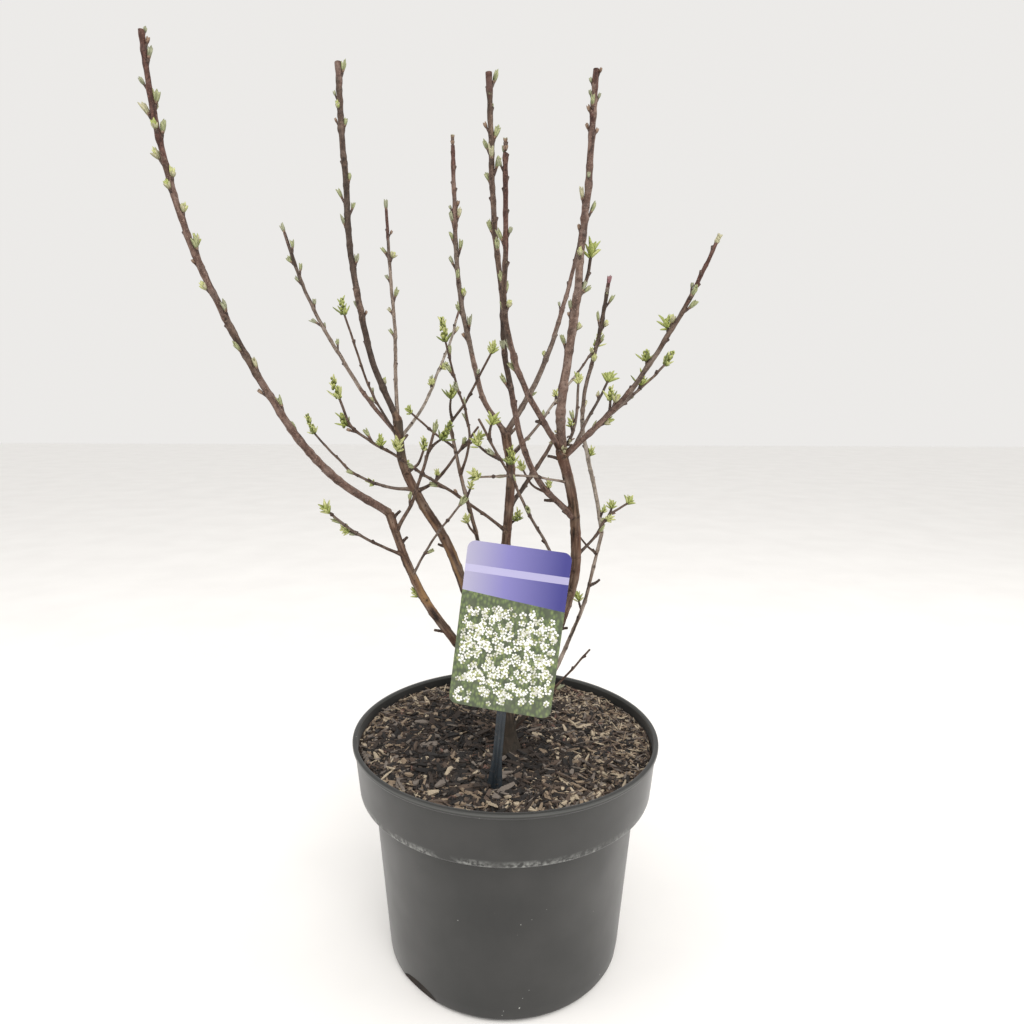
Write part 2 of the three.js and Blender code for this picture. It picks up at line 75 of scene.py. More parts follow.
lens = bpy.data.cameras.new("camera")
lens.sensor_width = 36
lens.lens = lens.sensor_width * FOCAL_LENGTH / IMAGE_SIDE
lens.shift_x = (IMAGE_SIDE / 2 - AXIS_PIXEL[0]) / IMAGE_SIDE
lens.shift_y = (AXIS_PIXEL[1] - IMAGE_SIDE / 2) / IMAGE_SIDE
lens.clip_start = 10 * MM
camera = add_object("camera", lens)
bpy.context.scene.camera = camera
camera.matrix_world = (
    Matrix.Translation(CAMERA_PLACE)
    @ Matrix.Rotation(math.pi / 2 - CAMERA_PITCH, 4, "X")
    @ Matrix.Rotation(CAMERA_ROLL, 4, "Z")
)
print("lens", round(lens.lens, 2), "mm, shift", round(lens.shift_x, 4), round(lens.shift_y, 4))

# %% [markdown]
# Every material here is built from nodes. A few helpers keep that readable: one starts a
# material, one adds a node with its inputs, and others add a ramp, a mix, a sum or relief. An
# input may be a plain value or another node's output, which is then linked.

# %% Helpers for materials
def new_material(name, roughness=0.6):
    """A material, its tree and its Principled shader, with the plain roughness set."""
    made = bpy.data.materials.new(name)
    made.use_nodes = True
    shader = made.node_tree.nodes["Principled BSDF"]
    shader.inputs["Roughness"].default_value = roughness
    return made, made.node_tree, shader


def add_node(tree, kind, inputs=None, **settings):
    """A node with its settings, and with inputs that are values or other nodes' outputs."""
    node = tree.nodes.new(kind)
    for key, value in settings.items():
        setattr(node, key, value)
    for key, value in (inputs or {}).items():
        if isinstance(value, bpy.types.NodeSocket):
            tree.links.new(value, node.inputs[key])
        else:
            node.inputs[key].default_value = value
    return node


def add_ramp(tree, factor, stops):
    """A colour ramp: stops are (position, (red, green, blue)) in rising order."""
    node = add_node(tree, "ShaderNodeValToRGB", {"Fac": factor})
    elements = node.color_ramp.elements
    while len(elements) < len(stops):
        elements.new(1.0)
    for element, (position, colour) in zip(elements, stops):
        element.position = position
        element.color = (*colour, 1)
    return node.outputs["Color"]


def mix_colours(tree, factor, first, second):
    """A mix of two colours: each is an output or (red, green, blue)."""
    node = add_node(tree, "ShaderNodeMix", {"Factor": factor}, data_type="RGBA")
    for key, colour in ((6, first), (7, second)):
        if isinstance(colour, bpy.types.NodeSocket):
            tree.links.new(colour, node.inputs[key])
        else:
            node.inputs[key].default_value = (*colour, 1)
    return node.outputs[2]


def calculate(tree, operation, *values):
    """The result of a Math node on numbers or outputs."""
    return add_node(tree, "ShaderNodeMath", dict(enumerate(values)), operation=operation).outputs[0]


def times(tree, first, second):
    """The product of two masks."""
    return calculate(tree, "MULTIPLY", first, second)


def shade(colour, gain):
    """A darker or paler colour."""
    return tuple(min(1, gain * part) for part in colour)


def remap(tree, value, low, high, first=0.0, last=1.0):
    """A value that runs from first to last where the given one runs from low to high."""
    return add_node(tree, "ShaderNodeMapRange", {"Value": value, "From Min": low, "From Max": high,
                                                 "To Min": first, "To Max": last}).outputs["Result"]


def layer(tree, label):
    """A value that the mesh's points carry under this name."""
    return add_node(tree, "ShaderNodeAttribute", attribute_name=label).outputs["Fac"]


def blotch(tree, colour, over, strength, *sizes):
    """The colour with patches of another one over it, at a strength."""
    return mix_colours(tree, times(tree, patches(tree, *sizes), strength), colour, over)


def paint(shader, colour):
    shader.id_data.links.new(colour, shader.inputs["Base Color"])


def add_bump(tree, shader, height, strength, distance):
    """Fine relief in the shading; distance is in millimetres."""
    bump = add_node(tree, "ShaderNodeBump",
                    {"Height": height, "Strength": strength, "Distance": distance * MM})
    tree.links.new(bump.outputs["Normal"], shader.inputs["Normal"])

# %% [markdown]
# Two effects serve many materials, so each is a node group, built once. Patches gives soft
# blotches of one size, as weather and dust leave on anything. Grain gives a stretched speckle,
# as in bark fibre or moulded plastic. Both read object coordinates, so they stay on the piece.

# %% Shared effects
def new_group(name, inputs):
    """A shader node group with number inputs and one output, Mask."""
    group = bpy.data.node_groups.new(name, "ShaderNodeTree")
    for label, value in inputs.items():
        socket = group.interface.new_socket(label, in_out="INPUT", socket_type="NodeSocketFloat")
        socket.default_value = value
    group.interface.new_socket("Mask", in_out="OUTPUT", socket_type="NodeSocketFloat")
    return group, group.nodes.new("NodeGroupInput"), group.nodes.new("NodeGroupOutput")


def build_patches():
    """Blotches: Size in metres, From and To set how sharp and how wide they are."""
    group, given, result = new_group("patches", {"Size": 0.02, "From": 0.4, "To": 0.6, "Detail": 3})
    place = add_node(group, "ShaderNodeTexCoord")
    scale = calculate(group, "DIVIDE", 1.0, given.outputs["Size"])
    cloud = add_node(group, "ShaderNodeTexNoise", {
        "Vector": place.outputs["Object"], "Scale": scale, "Detail": given.outputs["Detail"]})
    spread = remap(group, cloud.outputs["Fac"], given.outputs["From"], given.outputs["To"])
    group.links.new(spread, result.inputs["Mask"])
    return group


def build_grain():
    """Speckle: Size is its width in metres, and Stretch how much longer it is upwards."""
    group, given, result = new_group("grain", {"Size": 0.001, "Stretch": 1.0})
    place = add_node(group, "ShaderNodeTexCoord")
    wide = calculate(group, "DIVIDE", 1.0, given.outputs["Size"])
    tall = calculate(group, "DIVIDE", wide, given.outputs["Stretch"])
    scales = add_node(group, "ShaderNodeCombineXYZ", {"X": wide, "Y": wide, "Z": tall})
    scaled = add_node(group, "ShaderNodeVectorMath",
                      {0: place.outputs["Object"], 1: scales.outputs[0]}, operation="MULTIPLY")
    speckle = add_node(group, "ShaderNodeTexNoise",
                       {"Vector": scaled.outputs[0], "Scale": 1.0, "Detail": 2.0})
    group.links.new(speckle.outputs["Fac"], result.inputs["Mask"])
    return group


PATCHES = build_patches()
GRAIN = build_grain()


def patches(tree, size, low=0.4, high=0.6, detail=3.0):
    """The patches group in a material: size in millimetres."""
    node = add_node(tree, "ShaderNodeGroup", node_tree=PATCHES)
    for key, value in (("Size", size * MM), ("From", low), ("To", high), ("Detail", detail)):
        node.inputs[key].default_value = value
    return node.outputs["Mask"]


def grain(tree, size, stretch=1.0):
    """The grain group in a material: size in millimetres."""
    node = add_node(tree, "ShaderNodeGroup", node_tree=GRAIN)
    node.inputs["Size"].default_value = size * MM
    node.inputs["Stretch"].default_value = stretch
    return node.outputs["Mask"]


print("shared effects:", PATCHES.name, "and", GRAIN.name)

# %% [markdown]
# A plain pale floor and a pale, even sky keep the eye on the plant. Photo rooms of this kind are
# lit by broad lamps overhead, so three large area lamps give soft shadows round the pot.

# %% Floor and light
FLOOR_SIDE = 16000
SKY = (0.95, 0.935, 0.915)
SKY_STRENGTH = 0.885
LAMP_COLOUR = (1.0, 0.975, 0.945)

scene = bpy.context.scene
scene.view_settings.view_transform = "Standard"
scene.world = bpy.data.worlds.new("pale_room")
scene.world.use_nodes = True
sky = scene.world.node_tree.nodes["Background"]
sky.inputs["Color"].default_value = (*SKY, 1)
sky.inputs["Strength"].default_value = SKY_STRENGTH


def add_floor():
    bm = bmesh.new()
    bmesh.ops.create_grid(bm, x_segments=1, y_segments=1, size=FLOOR_SIDE / 2 * MM)
    mesh = bpy.data.meshes.new("floor")
    bm.to_mesh(mesh)
    bm.free()
    floor = add_object("floor", mesh)
    made, tree, shader = new_material("pale_floor", roughness=0.7)
    blotches = patches(tree, 160, 0.35, 0.7)
    colour = mix_colours(tree, blotches, (0.93, 0.92, 0.905), (0.97, 0.96, 0.945))
    paint(shader, colour)
    mesh.materials.append(made)


def add_lamp(name, place, target, side, power):
    """A square soft lamp of one side length that looks from a place to a target."""
    lamp = bpy.data.lights.new(name, "AREA")
    lamp.size = side * MM
    lamp.energy = power
    lamp.color = LAMP_COLOUR
    made = add_object(name, lamp)
    start, end = Vector(place) * MM, Vector(target) * MM
    turn = (start - end).to_track_quat("Z", "Y").to_matrix().to_4x4()
    made.matrix_world = Matrix.Translation(start) @ turn


add_floor()
add_lamp("lamp_front", (500, -1500, 1900), (0, 0, 300), 1300, 22)
add_lamp("lamp_left", (-1500, -500, 1700), (0, 0, 250), 1100, 11)
add_lamp("lamp_right", (1600, -250, 1300), (0, 0, 200), 1100, 9)
print("lamps:", [lamp.name for lamp in bpy.data.lights])

# %% [markdown]
# Most pieces start as a bmesh. One helper turns it into a finished object: its normals point
# outwards, it is smooth except at sharp corners, and it rides on the only body, the root. One
# makes live modifiers final, so that the mesh holds what is rendered. The others spin an
# outline into a round shape and soften its edges.

# %% Helpers for pieces
def finish_piece(name, bm, material, sharp=40):
    """A piece from a bmesh in metres, smooth where its faces meet at less than sharp degrees."""
    bmesh.ops.recalc_face_normals(bm, faces=bm.faces)
    mesh = bpy.data.meshes.new(name)
    bm.to_mesh(mesh)
    bm.free()
    mesh.shade_smooth()
    mesh.set_sharp_from_angle(angle=sharp * DEGREE)
    mesh.materials.append(material)
    return place_piece(name, mesh)


def place_piece(name, mesh):
    piece = add_object(name, mesh)
    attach(piece, "root")
    return piece


def make_final(piece):
    """The piece's modifiers become its mesh."""
    graph = bpy.context.evaluated_depsgraph_get()
    mesh = bpy.data.meshes.new_from_object(piece.evaluated_get(graph))
    piece.modifiers.clear()
    piece.data = mesh


def spin_outline(bm, outline, steps):
    """An outline of (radius, height) in millimetres, turned once round the Z axis."""
    dots = [bm.verts.new((radius * MM, 0, height * MM)) for radius, height in outline]
    edges = [bm.edges.new(pair) for pair in zip(dots, dots[1:])]
    bmesh.ops.spin(bm, geom=dots + edges, cent=(0, 0, 0), axis=(0, 0, 1), angle=2 * math.pi,
                   steps=steps, use_merge=True)
    bmesh.ops.remove_doubles(bm, verts=bm.verts, dist=1e-6)


def bevel(bm, geom, offset, segments=2, affect="EDGES"):
    """Rounds edges or corners by an offset in millimetres."""
    bmesh.ops.bevel(bm, geom=geom, offset=offset * MM, offset_type="OFFSET", segments=segments,
                    profile=0.5, affect=affect, clamp_overlap=True, material=-1)


def bevel_ring(bm, radius, height, offset):
    """Rounds the ring of edges at one radius and height."""
    def on_ring(vert):
        return (abs(vert.co.z - height * MM) < 1e-5
                and abs(math.hypot(vert.co.x, vert.co.y) - radius * MM) < 1e-5)
    ring = [edge for edge in bm.edges if all(on_ring(vert) for vert in edge.verts)]
    bevel(bm, ring, offset, 3)

# %% [markdown]
# The pot is blown or moulded plastic: a tapered tub, a wider collar that starts in a step, and a
# lip. A lathe shape suits it, so its outline is spun once round and its rings are rounded with
# bevels. The low arches at its foot are drain mouths. A Boolean cuts them, shallow, and their faces
# carry painted shade: a dark brown that stands for the shade one looks into under the pot there.

# %% Pot shape
POT_HEIGHT = 197.3
LIP_RADIUS = 128
LIP_HEIGHT = 3.6
LIP_FOOT = POT_HEIGHT - LIP_HEIGHT
LIP_ROUND = 1.3
COLLAR_TOP_RADIUS = 126.2
COLLAR_FOOT_RADIUS = 123
COLLAR_FOOT = 152
STEP_DROP = 1                # how far the steps under collar and lip slope
TUB_TOP_RADIUS = 111.5
TUB_FOOT_RADIUS = 102
TUB_RING = (102.68, 14)      # a ring of edges above the drain mouths, on the tub's straight side
FOOT_RADIUS = 98.5
FOOT_ROUND = 3.5
POT_WALL = 2
POT_FLOOR = 12               # thick, because the drain mouths are shallow and dark inside
POT_STEPS = 192
DRAIN_COUNT = 3
DRAIN_FIRST = -133 * DEGREE
DRAIN_WIDTH = 42
DRAIN_HEIGHT = 12.5
DRAIN_DEPTH = 2.4
DRAIN_PROUD = 3              # how far the tool stands out of the wall


def drain_cutter(material):
    """The arches that are cut from the foot, as one hidden tool that carries their painted shade."""
    bm = bmesh.new()
    long = DRAIN_DEPTH + DRAIN_PROUD
    middle = TUB_FOOT_RADIUS - DRAIN_DEPTH + long / 2
    for k in range(DRAIN_COUNT):
        turn = DRAIN_FIRST + k * 2 * math.pi / DRAIN_COUNT
        stretch = Matrix.Diagonal((DRAIN_WIDTH / 2 * MM, DRAIN_HEIGHT * MM, long * MM, 1))
        place = (Matrix.Rotation(turn - math.pi / 2, 4, "Z") @ Matrix.Translation((0, middle * MM, 0))
                 @ Matrix.Rotation(math.pi / 2, 4, "X") @ stretch)
        bmesh.ops.create_cone(bm, cap_ends=True, segments=48, radius1=1, radius2=1, depth=1,
                              matrix=place)
    mesh = bpy.data.meshes.new("drain_cutter")
    bm.to_mesh(mesh)
    bm.free()
    mesh.materials.append(material)
    return add_object("drain_cutter", mesh)


def build_pot(material, inside):
    bm = bmesh.new()
    mouth_radius = COLLAR_TOP_RADIUS - POT_WALL
    spin_outline(bm, [
        (0, 0), (FOOT_RADIUS, 0), (TUB_FOOT_RADIUS, FOOT_ROUND), TUB_RING,
        (TUB_TOP_RADIUS, COLLAR_FOOT - STEP_DROP), (COLLAR_FOOT_RADIUS, COLLAR_FOOT),
        (COLLAR_TOP_RADIUS, LIP_FOOT - STEP_DROP), (LIP_RADIUS, LIP_FOOT), (LIP_RADIUS, POT_HEIGHT),
        (mouth_radius, POT_HEIGHT), (mouth_radius, LIP_FOOT),
        (COLLAR_FOOT_RADIUS - POT_WALL, COLLAR_FOOT + POT_WALL),
        (TUB_TOP_RADIUS - POT_WALL, COLLAR_FOOT + POT_WALL - STEP_DROP),
        (TUB_FOOT_RADIUS - POT_WALL, POT_FLOOR + FOOT_ROUND), (FOOT_RADIUS - POT_WALL, POT_FLOOR),
        (0, POT_FLOOR),
    ], POT_STEPS)
    for radius, height, offset in (
            (FOOT_RADIUS, 0, 1.4), (TUB_FOOT_RADIUS, FOOT_ROUND, 1.4),
            (TUB_TOP_RADIUS, COLLAR_FOOT - STEP_DROP, 1.0), (COLLAR_FOOT_RADIUS, COLLAR_FOOT, 2.2),
            (LIP_RADIUS, LIP_FOOT, 1.0), (COLLAR_TOP_RADIUS, LIP_FOOT - STEP_DROP, 0.7),
            (LIP_RADIUS, POT_HEIGHT, LIP_ROUND), (mouth_radius, POT_HEIGHT, 0.9)):
        bevel_ring(bm, radius, height, offset)
    pot = finish_piece("pot_shell", bm, material)
    cutter = drain_cutter(inside)
    cut = pot.modifiers.new("drain_mouths", "BOOLEAN")
    cut.object = cutter
    cut.operation = "DIFFERENCE"
    cut.solver = "EXACT"
    cut.material_mode = "TRANSFER"
    make_final(pot)
    bpy.data.objects.remove(cutter)
    pot.data.shade_smooth()
    pot.data.set_sharp_from_angle(angle=40 * DEGREE)
    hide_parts("pot")
    return pot

# %% [markdown]
# Charcoal polypropylene that has been about: satin, a little warmer and lighter where dust lies,
# with pale rubbing along the step of the collar and a few stray specks. Each of those is a mask
# that lightens the base colour: a band by height, broken up by patches, and the tips of a noise.
# A thin pale line along the lip's rounded top is a painted highlight, in the rubbing's colour.

# %% Pot finish
CHARCOAL = (0.0135, 0.0142, 0.0134)
CHARCOAL_DUSTY = (0.027, 0.027, 0.0258)
PALE_RUB_AND_LIP_HIGHLIGHT = (0.36, 0.37, 0.35)
RUB_BAND = (2.2, 4.6)        # middle above the collar's foot and half height of the rubbed band
SPECK_SIZE = 2.4
MOUTH_PAINTED_SHADE = ((0.010, 0.006, 0.0045), (0.024, 0.016, 0.012))
GLOSS = 0.42
SHEEN = (0.19, 0.38)         # weight and roughness of the dust that lightens the sides


def height_band(tree, middle, half):
    """A mask that is 1 at one height of the piece and falls to 0 at half a band away."""
    place = add_node(tree, "ShaderNodeTexCoord")
    height = add_node(tree, "ShaderNodeSeparateXYZ", {"Vector": place.outputs["Object"]})
    away = calculate(tree, "ABSOLUTE", calculate(tree, "SUBTRACT", height.outputs["Z"], middle * MM))
    return remap(tree, away, 0.0, half * MM, 1.0, 0.0)


def pot_plastic():
    made, tree, shader = new_material("charcoal_plastic", roughness=0.46)
    shader.inputs["Specular IOR Level"].default_value = GLOSS
    shader.inputs["Sheen Weight"].default_value = SHEEN[0]
    shader.inputs["Sheen Roughness"].default_value = SHEEN[1]
    place = add_node(tree, "ShaderNodeTexCoord")
    sides = add_node(tree, "ShaderNodeSeparateXYZ", {"Vector": place.outputs["Object"]})
    colour = mix_colours(tree, patches(tree, 45, 0.35, 0.7, 4), CHARCOAL, CHARCOAL_DUSTY)
    colour = mix_colours(tree, times(tree, grain(tree, 3.0, 14.0), 0.25), colour, CHARCOAL_DUSTY)
    band = height_band(tree, COLLAR_FOOT + RUB_BAND[0], RUB_BAND[1])
    rub = times(tree, band, patches(tree, 3.2, 0.40, 0.66, 6))
    rub = times(tree, rub, remap(tree, sides.outputs["X"], 0.0, 70 * MM, 0.95, 0.4))
    rub = times(tree, rub, patches(tree, 26, 0.30, 0.52, 2))
    colour = mix_colours(tree, rub, colour, PALE_RUB_AND_LIP_HIGHLIGHT)
    # Painted highlight: a thin pale line along the lip's rounded top, in the rubbing's pale colour.
    lip = height_band(tree, POT_HEIGHT - LIP_ROUND, 1.2)
    colour = mix_colours(tree, times(tree, lip, 0.18), colour, PALE_RUB_AND_LIP_HIGHLIGHT)
    specks = times(tree, patches(tree, SPECK_SIZE, 0.85, 0.88, 0), patches(tree, 30, 0.58, 0.68, 1))
    colour = mix_colours(tree, specks, colour, (0.5, 0.5, 0.47))
    paint(shader, colour)
    dull = remap(tree, patches(tree, 60, 0.3, 0.7, 3), 0.0, 1.0, 0.36, 0.50)
    tree.links.new(dull, shader.inputs["Roughness"])
    add_bump(tree, shader, grain(tree, 0.9, 2.0), 0.25, 0.06)
    return made


def mouth_shade():
    made, tree, shader = new_material("drain_shade", roughness=0.9)
    # Painted shade: the drain mouths' faces are dark brown because one looks into the shade under the pot.
    paint(shader, mix_colours(tree, patches(tree, 5, 0.35, 0.65), *MOUTH_PAINTED_SHADE))
    return made


pot = build_pot(pot_plastic(), mouth_shade())
print("pot:", len(pot.data.polygons), "faces")

# %% [markdown]
# Many small things, such as bark chips, buds and leaves, are each a small mesh that is copied
# hundreds of times. A Heap gathers the copies as arrays of points and triangles, with a material
# for each copy, and becomes one mesh at the end. A pattern shape is made once with bmesh
# operators and read into such arrays.

# %% Heaps of small things
class Heap:
    """Points in millimetres and triangles of many small things, joined as one mesh."""

    def __init__(self):
        self.points, self.faces, self.slots, self.tones = [], [], [], []
        self.count = 0

    def add(self, points, faces, slot=0, tone=0.5):
        """slot: one material index, or one for each face. tone: one value, or one for each point."""
        self.points.append(points)
        self.faces.append(faces + self.count)
        self.slots.append(np.broadcast_to(slot, len(faces)))
        self.tones.append(np.broadcast_to(tone, len(points)))
        self.count += len(points)

    def build(self, name, materials, slot, smooth=True):
        """The joined piece. Its points carry their tone as an attribute."""
        mesh = bpy.data.meshes.new(name)
        faces = np.concatenate(self.faces)
        mesh.from_pydata((np.concatenate(self.points) * MM).tolist(), [], faces.tolist())
        for material in materials:
            mesh.materials.append(material)
        mesh.polygons.foreach_set("material_index", np.concatenate(self.slots).astype(np.int32))
        mesh.polygons.foreach_set("use_smooth", np.full(len(faces), smooth))
        tone = mesh.attributes.new("tone", "FLOAT", "POINT")
        tone.data.foreach_set("value", np.concatenate(self.tones).astype(np.float32))
        mesh.update()
        print(f"{name}: {len(faces)} triangles")
        return place_piece(name, mesh)


def pattern(bm):
    """A bmesh as an array of points and an array of triangles."""
    bmesh.ops.recalc_face_normals(bm, faces=bm.faces)
    bmesh.ops.triangulate(bm, faces=bm.faces)
    bm.verts.ensure_lookup_table()
    points = np.array([vert.co for vert in bm.verts])
    faces = np.array([[vert.index for vert in face.verts] for face in bm.faces])
    bm.free()
    return points, faces

# %% [markdown]
# The pot is filled with bark compost. Underneath is a domed bed with soft lumps: a disc that is
# spun from a radial outline and pushed up and down by noise. Its sides follow the pot's inner
# wall down to its floor, as the compost does, so it is one closed body.

# %% Bed of compost
SOIL_MIDDLE = 188
SOIL_EDGE = 187.9
SOIL_FLAT = 0.35             # share of the radius over which the dome is flat
SOIL_BROW = (0.7, 0.55)      # share of the radius, and of the dome's height that is left there
CLEARANCE = 0.3
BED_RINGS = 60
LUMP_SIZE = 16
LUMP_HEIGHT = 1.3
wall_share = (SOIL_EDGE - COLLAR_FOOT - POT_WALL) / (LIP_FOOT - COLLAR_FOOT - POT_WALL)
BED_RADIUS = (COLLAR_FOOT_RADIUS - POT_WALL - CLEARANCE
              + wall_share * (COLLAR_TOP_RADIUS - COLLAR_FOOT_RADIUS))


def bed_height(x, y):
    """Height of the compost at a place, all in millimetres."""
    share = math.hypot(x, y) / BED_RADIUS
    brow = SOIL_EDGE + SOIL_BROW[1] * (SOIL_MIDDLE - SOIL_EDGE)
    dome = np.interp(share, (0, SOIL_FLAT, SOIL_BROW[0], 1), (SOIL_MIDDLE, SOIL_MIDDLE, brow, SOIL_EDGE))
    lumps = noise.noise(Vector((x, y, 0)) / LUMP_SIZE)
    lumps += 0.5 * noise.noise(Vector((x, y, 9)) * 2.3 / LUMP_SIZE)
    return float(dome) + LUMP_HEIGHT * lumps * (1 - share ** 6)


def build_bed(material):
    bm = bmesh.new()
    top = [(BED_RADIUS * k / BED_RINGS, SOIL_MIDDLE) for k in range(BED_RINGS + 1)]
    spin_outline(bm, top + [
        (COLLAR_FOOT_RADIUS - POT_WALL - CLEARANCE, COLLAR_FOOT + POT_WALL + CLEARANCE),
        (TUB_TOP_RADIUS - POT_WALL - CLEARANCE, COLLAR_FOOT + POT_WALL + CLEARANCE),
        (TUB_FOOT_RADIUS - POT_WALL - CLEARANCE, POT_FLOOR + FOOT_ROUND),
        (FOOT_RADIUS - POT_WALL - CLEARANCE, POT_FLOOR + CLEARANCE), (0, POT_FLOOR + CLEARANCE),
    ], POT_STEPS)
    for vert in bm.verts:
        if vert.co.z > (SOIL_MIDDLE - 1) * MM:
            vert.co.z = bed_height(vert.co.x / MM, vert.co.y / MM) * MM
    bed = finish_piece("mulch_bed", bm, material, sharp=60)
    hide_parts("soil")
    return bed


def compost():
    made, tree, shader = new_material("damp_compost", roughness=0.95)
    crumbs = patches(tree, 1.6, 0.35, 0.65, 5)
    colour = mix_colours(tree, crumbs, (0.012, 0.008, 0.006), (0.075, 0.05, 0.035))
    paint(shader, colour)
    add_bump(tree, shader, patches(tree, 1.2, 0.2, 0.8, 5), 1.0, 0.8)
    return made


bed = build_bed(compost())
print("bed radius", round(BED_RADIUS, 1), "mm,", len(bed.data.polygons), "faces")

# %% [markdown]
# The top layer is shredded bark: thousands of splinters that lie every way, dark brown for the
# most part, with grey, tan and straw-coloured ones, and a few reddish flakes. One tapered chip
# is the pattern. Its copies get their own length, width, tilt and colour from seeded dice. They
# are coarse round the stems and fine near the wall, where rain has washed paler bits.

# %% Shredded bark
CHIP_COUNT = 9600
PALE_SIDE = 40 * DEGREE      # the side where most of the washed bits lie
CHIP_LENGTH = (3.2, 21.0)
CHIP_WIDTH = (0.9, 5.4)
CHIP_COLOURS = {             # name: colour, share in the middle of the pot, share near the wall
    "chip_black": ((0.011, 0.009, 0.008), 0.42, 0.12),
    "chip_dark": ((0.030, 0.021, 0.016), 0.33, 0.16),
    "chip_brown": ((0.086, 0.060, 0.044), 0.13, 0.20),
    "chip_grey": ((0.155, 0.130, 0.110), 0.06, 0.24),
    "chip_tan": ((0.235, 0.176, 0.122), 0.045, 0.22),
    "chip_straw": ((0.40, 0.330, 0.238), 0.018, 0.18),
    "chip_red": ((0.14, 0.078, 0.060), 0.010, 0.010),
}
STAKE_FOOT = Vector((-9, -79, 187))
TRUNK_FOOT = Vector((2, -21, 188.3))
BARE_ROUND = ((TRUNK_FOOT, 13), (STAKE_FOOT, 5))    # no chip starts within this of a foot


def chip_pattern():
    """A splinter 1 long, 1 wide and 1 thick, narrower and thinner at its ends."""
    bm = bmesh.new()
    bmesh.ops.create_cube(bm, size=1)
    along = [edge for edge in bm.edges if abs(edge.verts[0].co.x - edge.verts[1].co.x) > 0.5]
    bmesh.ops.subdivide_edges(bm, edges=along, cuts=1)
    for vert in bm.verts:
        if abs(vert.co.x) > 0.4:
            vert.co.y *= 0.45
            vert.co.z *= 0.5
        else:
            vert.co.y += 0.12
    return pattern(bm)


def chip_material(name, colour):
    made, tree, shader = new_material(name, roughness=0.85)
    tone = mix_colours(tree, grain(tree, 1.1, 1.0), shade(colour, 0.55), shade(colour, 1.45))
    paint(shader, tone)
    add_bump(tree, shader, grain(tree, 0.5, 1.0), 0.6, 0.3)
    return made


def between(limits, share, gain):
    return limits[0] + (limits[1] - limits[0]) * share * gain


def scatter_chips():
    chance = np.random.default_rng(11)
    points, faces = chip_pattern()
    heap = Heap()
    middle_shares = np.array([shares[1] for shares in CHIP_COLOURS.values()])
    wall_shares = np.array([shares[2] for shares in CHIP_COLOURS.values()])
    for _ in range(CHIP_COUNT):
        radius = BED_RADIUS * math.sqrt(chance.random())
        angle = 2 * math.pi * chance.random()
        near_wall = np.clip(1.1 * (radius / BED_RADIUS) ** 3 + 0.36 * math.cos(angle - PALE_SIDE), 0, 1)
        length = between(CHIP_LENGTH, chance.random() ** 2.6, 1.1 - 0.35 * near_wall)
        width = between(CHIP_WIDTH, chance.random() ** 2.3, 1.2 - 0.85 * near_wall)
        heading = math.pi * chance.random()
        tilt = chance.normal(0, 15) * DEGREE
        roll = chance.normal(0, 25) * DEGREE
        lift = 0.15 + 1.8 * chance.random() ** 1.5
        shares = middle_shares + near_wall * (wall_shares - middle_shares)
        colour = chance.choice(len(shares), p=shares / shares.sum())
        place = Vector((radius * math.cos(angle), radius * math.sin(angle), 0))
        if any((place - foot).xy.length < bare for foot, bare in BARE_ROUND):
            continue
        if radius + length / 2 > BED_RADIUS - 1:
            heading = angle + math.pi / 2 + 0.3 * (heading - math.pi / 2)
            place *= min(1, (BED_RADIUS - 1.5 - width) / radius)
        place.z = bed_height(place.x, place.y) + lift
        turn = Matrix.Rotation(heading, 3, "Z") @ Matrix.Rotation(tilt, 3, "Y")
        turn = turn @ Matrix.Rotation(roll, 3, "X")
        size = np.array((length, width, 0.35 + 0.4 * width))
        heap.add((points * size) @ np.array(turn).T + np.array(place), faces, colour)
    materials = [chip_material(name, given[0]) for name, given in CHIP_COLOURS.items()]
    return heap.build("mulch_chips", materials, "soil", smooth=False)


scatter_chips()

# %% [markdown]
# The picture label hangs on a flat plastic stake that is pushed into the compost. The stake is
# a narrow blade with a foot that widens at the soil, a wider head behind the card, and a raised
# rib down its front. Its outline is drawn once, extruded to its thickness and bevelled.

# %% Stake
LABEL_TILT = 8 * DEGREE
LABEL_TURN = -8 * DEGREE
STAKE_ROLL = -4 * DEGREE
STAKE_WIDTH = 7
STAKE_FOOT_WIDTH = 12
STAKE_FLARE_TOP = 24
STAKE_THICK = 2.4
STAKE_LENGTH = 150
STAKE_SUNK = 40
STAKE_POINT = (2, 12)        # width and length of the point
STAKE_HEAD = (30, 96, 5)     # width, foot and slope of the head
RIB_WIDTH = 1.8
RIB_HEIGHT = 0.7
label_place = (Matrix.Translation(STAKE_FOOT * MM) @ Matrix.Rotation(LABEL_TURN, 4, "Z")
               @ Matrix.Rotation(math.pi / 2 - LABEL_TILT, 4, "X"))


